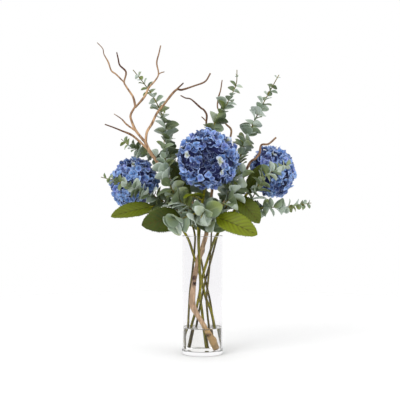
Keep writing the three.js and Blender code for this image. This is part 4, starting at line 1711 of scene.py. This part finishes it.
@dataclass
class LeafyStem:
    """A hydrangea stem with its stalked, toothed leaves."""

    name: str
    plan: StemPlan
    room: Room
    teeth: int = 20
    tooth: float = 0.15
    tooth_points: int = 4
    columns: int = 15
    thickness: float = 0.7
    quilt: float = 1.8
    wave: float = 0.9
    least_half: float = 0.5
    flat_half: float = 9.0  # half width under which the quilting fades
    rib_depth: float = 0.9
    stouter: float = 1.15
    taper: tuple[float, ...] = (1.0, 0.95, 0.85)
    stalk_bend: float = 0.55  # where the stalk bends, on its way from the stem to the blade
    stalk_arch: float = 3.0  # how high it arches there
    stalk_end: float = 7.0  # how far it runs on under the blade
    stalk_radii: tuple[float, float, float] = (1.9, 1.5, 1.3)
    stalk_room: tuple[float, float, float] = (1.9, 1.5, 1.2)
    rib_radii: tuple[float, float, float] = (1.1, 0.8, 0.4)

    def radii(self) -> list[float]:
        """The solid stem's radii from foot to head."""
        return [self.plan.radius * share for share in self.taper]

    def blade(self, leaf: LeafPlan) -> Blade:
        """The place of a leaf's blade.

        Args:
            leaf: The leaf's plan.

        Returns:
            The blade, bent so that its ends meet the plan's.
        """
        root = np.array(leaf.root, float)
        chord = np.array(leaf.tip, float) - root
        length = np.linalg.norm(chord) * leaf.droop / (2 * math.sin(leaf.droop / 2))
        blade = Blade.placed(
            root, chord, np.array(leaf.facing, float),
            length=float(length), width=leaf.width, outline=ovate_outline, droop=leaf.droop, fold=0.22,
        )
        blade.rib = turned(blade.rib, blade.across, -leaf.droop / 2)
        blade.up = turned(blade.up, blade.across, -leaf.droop / 2)
        return blade

    def stalk(self, leaf: LeafPlan, blade: Blade) -> Route:
        """The curve of the stalk from the stem to a blade.

        Args:
            leaf: The leaf's plan.
            blade: Its blade.

        Returns:
            The curve.
        """
        start = Route(self.plan.route).point(leaf.at)
        middle = start + self.stalk_bend * (blade.root - start) + np.array([0, 0, self.stalk_arch])
        return Route([start, middle, blade.root, blade.root + self.stalk_end * blade.rib])

    def claim(self) -> None:
        """Takes the room of the stalks and blades."""
        for leaf in self.plan.leaves:
            blade = self.blade(leaf)
            self.room.take_stem(self.stalk(leaf, blade), self.stalk_room, self.name)
            self.room.take(blade.samples(0), Room.BLADE_REACH, self.name)

    def add_leaf(self, surface: Surface, leaf: LeafPlan) -> None:
        """Adds a toothed and quilted blade.

        Args:
            surface: What it is added to.
            leaf: The leaf's plan.
        """
        blade = self.blade(leaf)
        t = np.linspace(0, 1, self.teeth * self.tooth_points + 1)
        tooth = 1 - self.tooth * ((t * self.teeth) % 1) * np.minimum(1, 6 * (1 - t))
        half = np.maximum(blade.width * ovate_outline(t) * tooth, self.least_half)
        t, side, halves, points = blade.grid(t, half, self.columns)
        quilting = np.abs(np.sin((t - VEIN_SLANT * np.abs(side)) * VEINS * np.pi)) ** 0.6 - 0.6
        fade = np.minimum(1, halves / self.flat_half)
        relief = self.quilt * quilting * fade
        relief += self.wave * np.sin(7 * t + 4 * leaf.tone) * side**2 * fade
        relief -= self.rib_depth * np.exp(-((side * 9) ** 2)) * fade
        upper = points + relief[..., None] * blade.up
        add_sheet(surface, upper, self.thickness * blade.up, t, side, leaf.tone)
        middle = blade.at(np.array([0.0, 0.25, 0.5, 0.75, 0.97]), np.zeros(5))
        add_tube(surface, Route(middle - self.rib_depth * blade.up), self.rib_radii, sides=6, step=6)

    def build(self) -> None:
        """Builds the stem, its stalks and its leaves."""
        surface = Surface()
        radii = [radius * self.stouter for radius in self.radii()]
        add_tube(surface, Route(self.plan.route), radii, slot=1, sides=14)
        for leaf in self.plan.leaves:
            add_tube(surface, self.stalk(leaf, self.blade(leaf)), self.stalk_radii, slot=1, sides=8)
            self.add_leaf(surface, leaf)
        materials = [Finish.FLOWER_LEAF.material(), Finish.FLOWER_STEM.material()]
        piece = surface.piece(self.name.replace("hydrangea_stem", "leafy_stem"), materials)
        hold(piece, self.name)
        log.info("%s built", self.name)


@dataclass(frozen=True)
class Round:
    """A round of paired leaves along every shoot."""

    offset: float  # where it starts, in spacings past the shoot's bare foot
    size: float  # its leaves' size beside the plan's
    reach: float  # how far its leaves keep from what is there
    end: float  # where it ends along the leafy stretch


PAIRS = Round(0.0, 1.0, Room.BLADE_REACH, 1.0)  # the leaves that the solid has too
FILLINGS = (Round(-0.7, 0.95, -0.7, 0.0), Round(0.5, 0.95, -0.7, 0.92), Round(0.25, 0.95, -0.7, 0.6))


@dataclass
class Spray:
    """A eucalyptus stem with side shoots and round paired leaves."""

    name: str
    shoots: tuple[ShootPlan, ...]
    seed: int
    room: Room
    thickness: float = 0.5
    stouter: float = 1.15
    bare_tip: float = 3.0
    size_spread: float = 0.14
    lift: float = 0.7
    lift_spread: float = 0.4
    steepest: float = 1.15
    least_roll: float = 0.4
    roll_spread: float = 0.45
    spin_spread: float = 0.3
    tested: float = 0.2  # where along a leaf its clearance starts to count
    taken: float = 0.25  # where along it the room that it takes at once starts
    paired: float = 0.1  # and the room that it takes once its pair stands
    droop: float = 0.6
    fold: float = 0.3
    wave: float = 0.025
    tones: tuple[float, float] = (1.0, 0.8)  # how the tones spread, as a beta distribution, wide so that many leaves take the painted shade or the painted sheen
    fine: tuple[int, int] = (12, 9)  # rows and columns of a leaf's mesh
    coarse: tuple[int, int] = (8, 7)
    coarse_length: float = 20.0
    least_halves: tuple[float, float, float] = (0.55, 0.4, 0.25)  # at the foot, a tenth along and the tip
    small: tuple[float, float] = (10.0, 0.6)  # a small leaf's length, and its width beside it
    large: tuple[float, float] = (42.0, 0.86)
    routes: list[Route] = field(init=False)
    blades: list[Blade] = field(default_factory=list)

    # Turn round the shoot and lean in degrees, and size, of each try at a free place for a leaf
    TRIES = (
        (0, 0, 1), (25, 0, 1), (-25, 0, 1), (0, 18, 0.92), (40, 5, 0.9), (-40, 5, 0.9),
        (15, -20, 0.85), (-15, 28, 0.8), (45, 20, 0.7), (-45, 20, 0.7), (0, 32, 0.6),
    )

    def __post_init__(self) -> None:
        """Measures the shoots' curves."""
        self.routes = [Route(shoot.route) for shoot in self.shoots]

    def claim(self) -> None:
        """Takes the room of the stems."""
        for route, shoot in zip(self.routes, self.shoots):
            self.room.take_stem(route, shoot.radii, self.name)

    def leaf(self, route: Route, u: float, spin: float, lift: float, roll: float, length: float) -> Blade:
        """One leaf's place.

        Args:
            route: The shoot's curve.
            u: Where on it the leaf grows.
            spin: Turn round the shoot.
            lift: Lean towards the tip.
            roll: Turn about its own rib.
            length: The leaf's length.

        Returns:
            The blade.
        """
        tangent = route.tangent(u)
        direction = route.across(u, spin) * math.cos(lift) + tangent * math.sin(lift)
        (short, narrow), (long, broad) = self.small, self.large
        width = length * (narrow + (length - short) / (long - short) * (broad - narrow))
        blade = Blade.placed(
            route.point(u), direction, tangent,
            length=length, width=width, outline=round_outline, droop=self.droop, fold=self.fold,
        )
        blade.across = turned(blade.across, blade.rib, roll)
        blade.up = turned(blade.up, blade.rib, roll)
        return blade

    def first_free(
        self, route: Route, u: float, spin: float, lift: float, roll: float, length: float, reach: float
    ) -> Blade | None:
        """The first try at a leaf that is clear of what is there, which then takes its room.

        Args:
            route: The shoot's curve.
            u: Where on it the leaf grows.
            spin: Turn round the shoot.
            lift: Lean towards the tip.
            roll: Turn about its own rib.
            length: The leaf's length.
            reach: How far the leaf keeps from what is there.

        Returns:
            The blade, or None where no try is free.
        """
        for turn, lean, scale in self.TRIES:
            tilt = min(lift + math.radians(lean), self.steepest)
            blade = self.leaf(route, u, spin + math.radians(turn), tilt, roll, length * scale)
            if self.room.is_free(blade.samples(self.tested), self.name, reach):
                self.room.take(blade.samples(self.taken), Room.BLADE_REACH, f"{self.name} leaf")
                return blade
        return None

    def shoot_leaves(self, route: Route, shoot: ShootPlan, draws: Draws, leaves: Round) -> list[Blade]:
        """One round of leaves on a shoot, in pairs, each turned clear of what is there.

        Args:
            route: The shoot's curve.
            shoot: Its plan.
            draws: The spray's random draws.
            leaves: The round.

        Returns:
            The blades.
        """
        blades = []
        place = shoot.bare * route.length + leaves.offset * shoot.spacing[0]
        end = shoot.bare * route.length + leaves.end * (1 - shoot.bare) * route.length
        spin = math.pi * draws.signed()
        while place < min(end, route.length - self.bare_tip):
            u = place / route.length
            share = min(max((u - shoot.bare) / (1 - shoot.bare), 0), 1)
            pair = []
            for half in (0, math.pi):
                length = leaves.size * along(shoot.leaf, share) * (1 + self.size_spread * draws.signed())
                lift = self.lift + self.lift_spread * draws.signed()
                twist = draws.signed()
                roll = self.roll_spread * twist + math.copysign(self.least_roll, twist)
                blade = self.first_free(route, u, spin + half, lift, roll, length, leaves.reach)
                if blade:
                    pair.append(blade)
            for blade in pair:
                foot = blade.samples(self.paired, self.taken)
                self.room.take(foot, Room.BLADE_REACH, f"{self.name} leaf")
            blades.extend(pair)
            place += along(shoot.spacing, share)
            spin += math.pi / 2 + self.spin_spread * draws.signed()
        return blades

    def add_leaf(self, surface: Surface, blade: Blade, draws: np.random.Generator) -> None:
        """Adds a fine leaf.

        Args:
            surface: What it is added to.
            blade: The leaf's place.
            draws: Random draws of its tone and waves.
        """
        rows, columns = self.coarse if blade.length < self.coarse_length else self.fine
        t = np.linspace(0, 1, rows)
        half = np.maximum(blade.width * round_outline(t), np.interp(t, [0, 0.1, 1], self.least_halves))
        t, side, _, points = blade.grid(t, half, columns)
        phase = float(draws.uniform(*PHASES))
        wave = self.wave * blade.length * np.sin(5 * t + phase) * side * np.sin(np.pi * t)
        upper = points + wave[..., None] * blade.up
        tone = float(draws.beta(*self.tones))
        add_sheet(surface, upper, self.thickness * blade.up, t, side, tone)

    def grow(self, rounds: Sequence[Round], seed: int) -> None:
        """Places the leaves of some rounds.

        Args:
            rounds: The rounds.
            seed: Seed of their draws.
        """
        draws = Draws(seed)
        for leaves in rounds:
            for route, shoot in zip(self.routes, self.shoots):
                self.blades += self.shoot_leaves(route, shoot, draws, leaves)

    def build(self) -> None:
        """Builds the spray."""
        surface = Surface()
        looks = np.random.default_rng(self.seed)
        for route, shoot in zip(self.routes, self.shoots):
            radii = [radius * self.stouter for radius in shoot.radii]
            add_tube(surface, route, radii, slot=1, sides=8, step=5)
        for blade in self.blades:
            self.add_leaf(surface, blade, looks)
        materials = [Finish.EUCALYPTUS.material(), Finish.SHOOT.material()]
        piece = surface.piece(self.name.replace("eucalyptus", "eucalyptus_spray"), materials)
        hold(piece, self.name)
        log.info("%s built with %d leaves", self.name, len(self.blades))


@dataclass(frozen=True)
class Lamp:
    """A square soft light: its place and side in metres, and its power in watts."""

    name: str
    place: Point
    size: float
    power: float


@dataclass
class Studio:
    """The camera, the soft light and the pale floor."""

    distance: float = 2100.0
    aside: float = -6.0
    height: float = 382.5
    film: float = 36.0
    focal: float = 2.1  # lens length beside the film's width
    aim: Point = (0.0, 0.0, 0.4)
    lamps: tuple[Lamp, ...] = (
        Lamp("key", (-1.6, -1.8, 2.4), 1.6, 34),
        Lamp("fill", (2.0, -1.2, 1.4), 1.8, 12),
    )
    bounces: int = 24  # light paths through the vase's thick floor need many
    floor_radius: float = 3000.0
    floor_rings: int = 12
    floor_sides: int = 64
    floor_depth: float = 0.5

    def add_camera(self) -> None:
        """Adds the camera, level and straight on."""
        data = bpy.data.cameras.new("camera")
        data.sensor_width = self.film
        data.lens = self.film * self.focal
        camera = bpy.data.objects.new("camera", data)
        camera.location = (self.aside * MM, -self.distance * MM, self.height * MM)
        camera.rotation_euler = (math.pi / 2, 0, 0)
        bpy.context.scene.collection.objects.link(camera)
        bpy.context.scene.camera = camera

    def add_lamp(self, lamp: Lamp) -> None:
        """Adds a soft light that looks at the flowers.

        Args:
            lamp: The light.
        """
        data = bpy.data.lights.new(lamp.name, "AREA")
        data.size = lamp.size
        data.energy = lamp.power
        light = bpy.data.objects.new(lamp.name, data)
        turn = (Vector(self.aim) - Vector(lamp.place)).to_track_quat("-Z", "Y").to_matrix().to_4x4()
        light.matrix_world = Matrix.Translation(lamp.place) @ turn
        bpy.context.scene.collection.objects.link(light)

    def floor_material(self) -> bpy.types.Material:
        """Makes the floor's finish, pale and faintly grained, which fades out with distance.

        Returns:
            The material.
        """
        shader = Shader("floor")
        grain = shader.ramp(shader.noise(300, 2), [(0.3, (0.9, 0.9, 0.9)), (0.7, (0.93, 0.93, 0.93))])
        reach = shader.node("ShaderNodeVectorMath")
        reach.operation = "LENGTH"
        shader.feed(reach.inputs[0], shader.space())
        share = shader.math("DIVIDE", reach.outputs["Value"], self.floor_radius * MM)
        shader.sets(Base_Color=grain, Roughness=0.9, Alpha=shader.fall(share, 0.1, 0.6))
        return shader.material

    def add_floor(self) -> None:
        """Adds a pale floor just below the vase."""
        surface = Surface()
        rings, sides = self.floor_rings, self.floor_sides
        radii = np.linspace(self.floor_radius / rings, self.floor_radius, rings)
        points = [level_ring(radius, -self.floor_depth, sides) for radius in radii]
        faces = [face[::-1] for face in grid_faces(rings, sides, closed=True)]
        faces.append(list(range(sides)))
        surface.add(np.concatenate(points), np.zeros((rings * sides, 3)), faces)
        surface.piece("floor", [self.floor_material()])

    def build(self) -> None:
        """Builds the studio."""
        self.add_camera()
        world = bpy.data.worlds.new("studio")
        world.use_nodes = True
        background = world.node_tree.nodes["Background"]
        background.inputs["Color"].default_value = (1, 1, 1, 1)
        background.inputs["Strength"].default_value = 1.0
        bpy.context.scene.world = world
        bpy.context.scene.view_settings.view_transform = "Standard"
        paths = bpy.context.scene.cycles
        paths.max_bounces = paths.glossy_bounces = paths.transmission_bounces = self.bounces
        for lamp in self.lamps:
            self.add_lamp(lamp)
        self.add_floor()
        log.info("studio built")


def hold(piece: bpy.types.Object, node: str) -> None:
    """Rides a piece on the body, in place of a solid.

    Args:
        piece: The piece.
        node: The solid's node.
    """
    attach(piece, "root")
    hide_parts(node)


def main() -> None:
    """Builds the studio and the arrangement."""
    logging.basicConfig(level=logging.INFO, format="%(message)s")
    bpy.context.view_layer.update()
    Studio().build()
    Vase().build()
    Branch().build()
    room = Room()
    stems = [LeafyStem(name, plan, room) for name, plan in STEMS.items()]
    sprays = [Spray(name, shoots, SPRAY_SEEDS[name], room) for name, shoots in SPRAYS.items()]
    for limb in (TRUNK, *LIMBS):
        room.take_stem(Route(limb.route), limb.radii, "branch")
    for stem in stems:
        room.take_stem(Route(stem.plan.route), stem.radii(), stem.name)
    for spray in sprays:
        spray.claim()
    for stem in stems:
        stem.claim()
        stem.build()
    for name, plan in HEADS.items():
        FlowerHead(name, plan).build()
    for spray in sprays:
        spray.grow((PAIRS,), spray.seed)
    for spray in sprays:
        spray.grow(FILLINGS, spray.seed + 1)
        spray.build()
    bpy.context.view_layer.update()


if __name__ == "__main__":
    main()
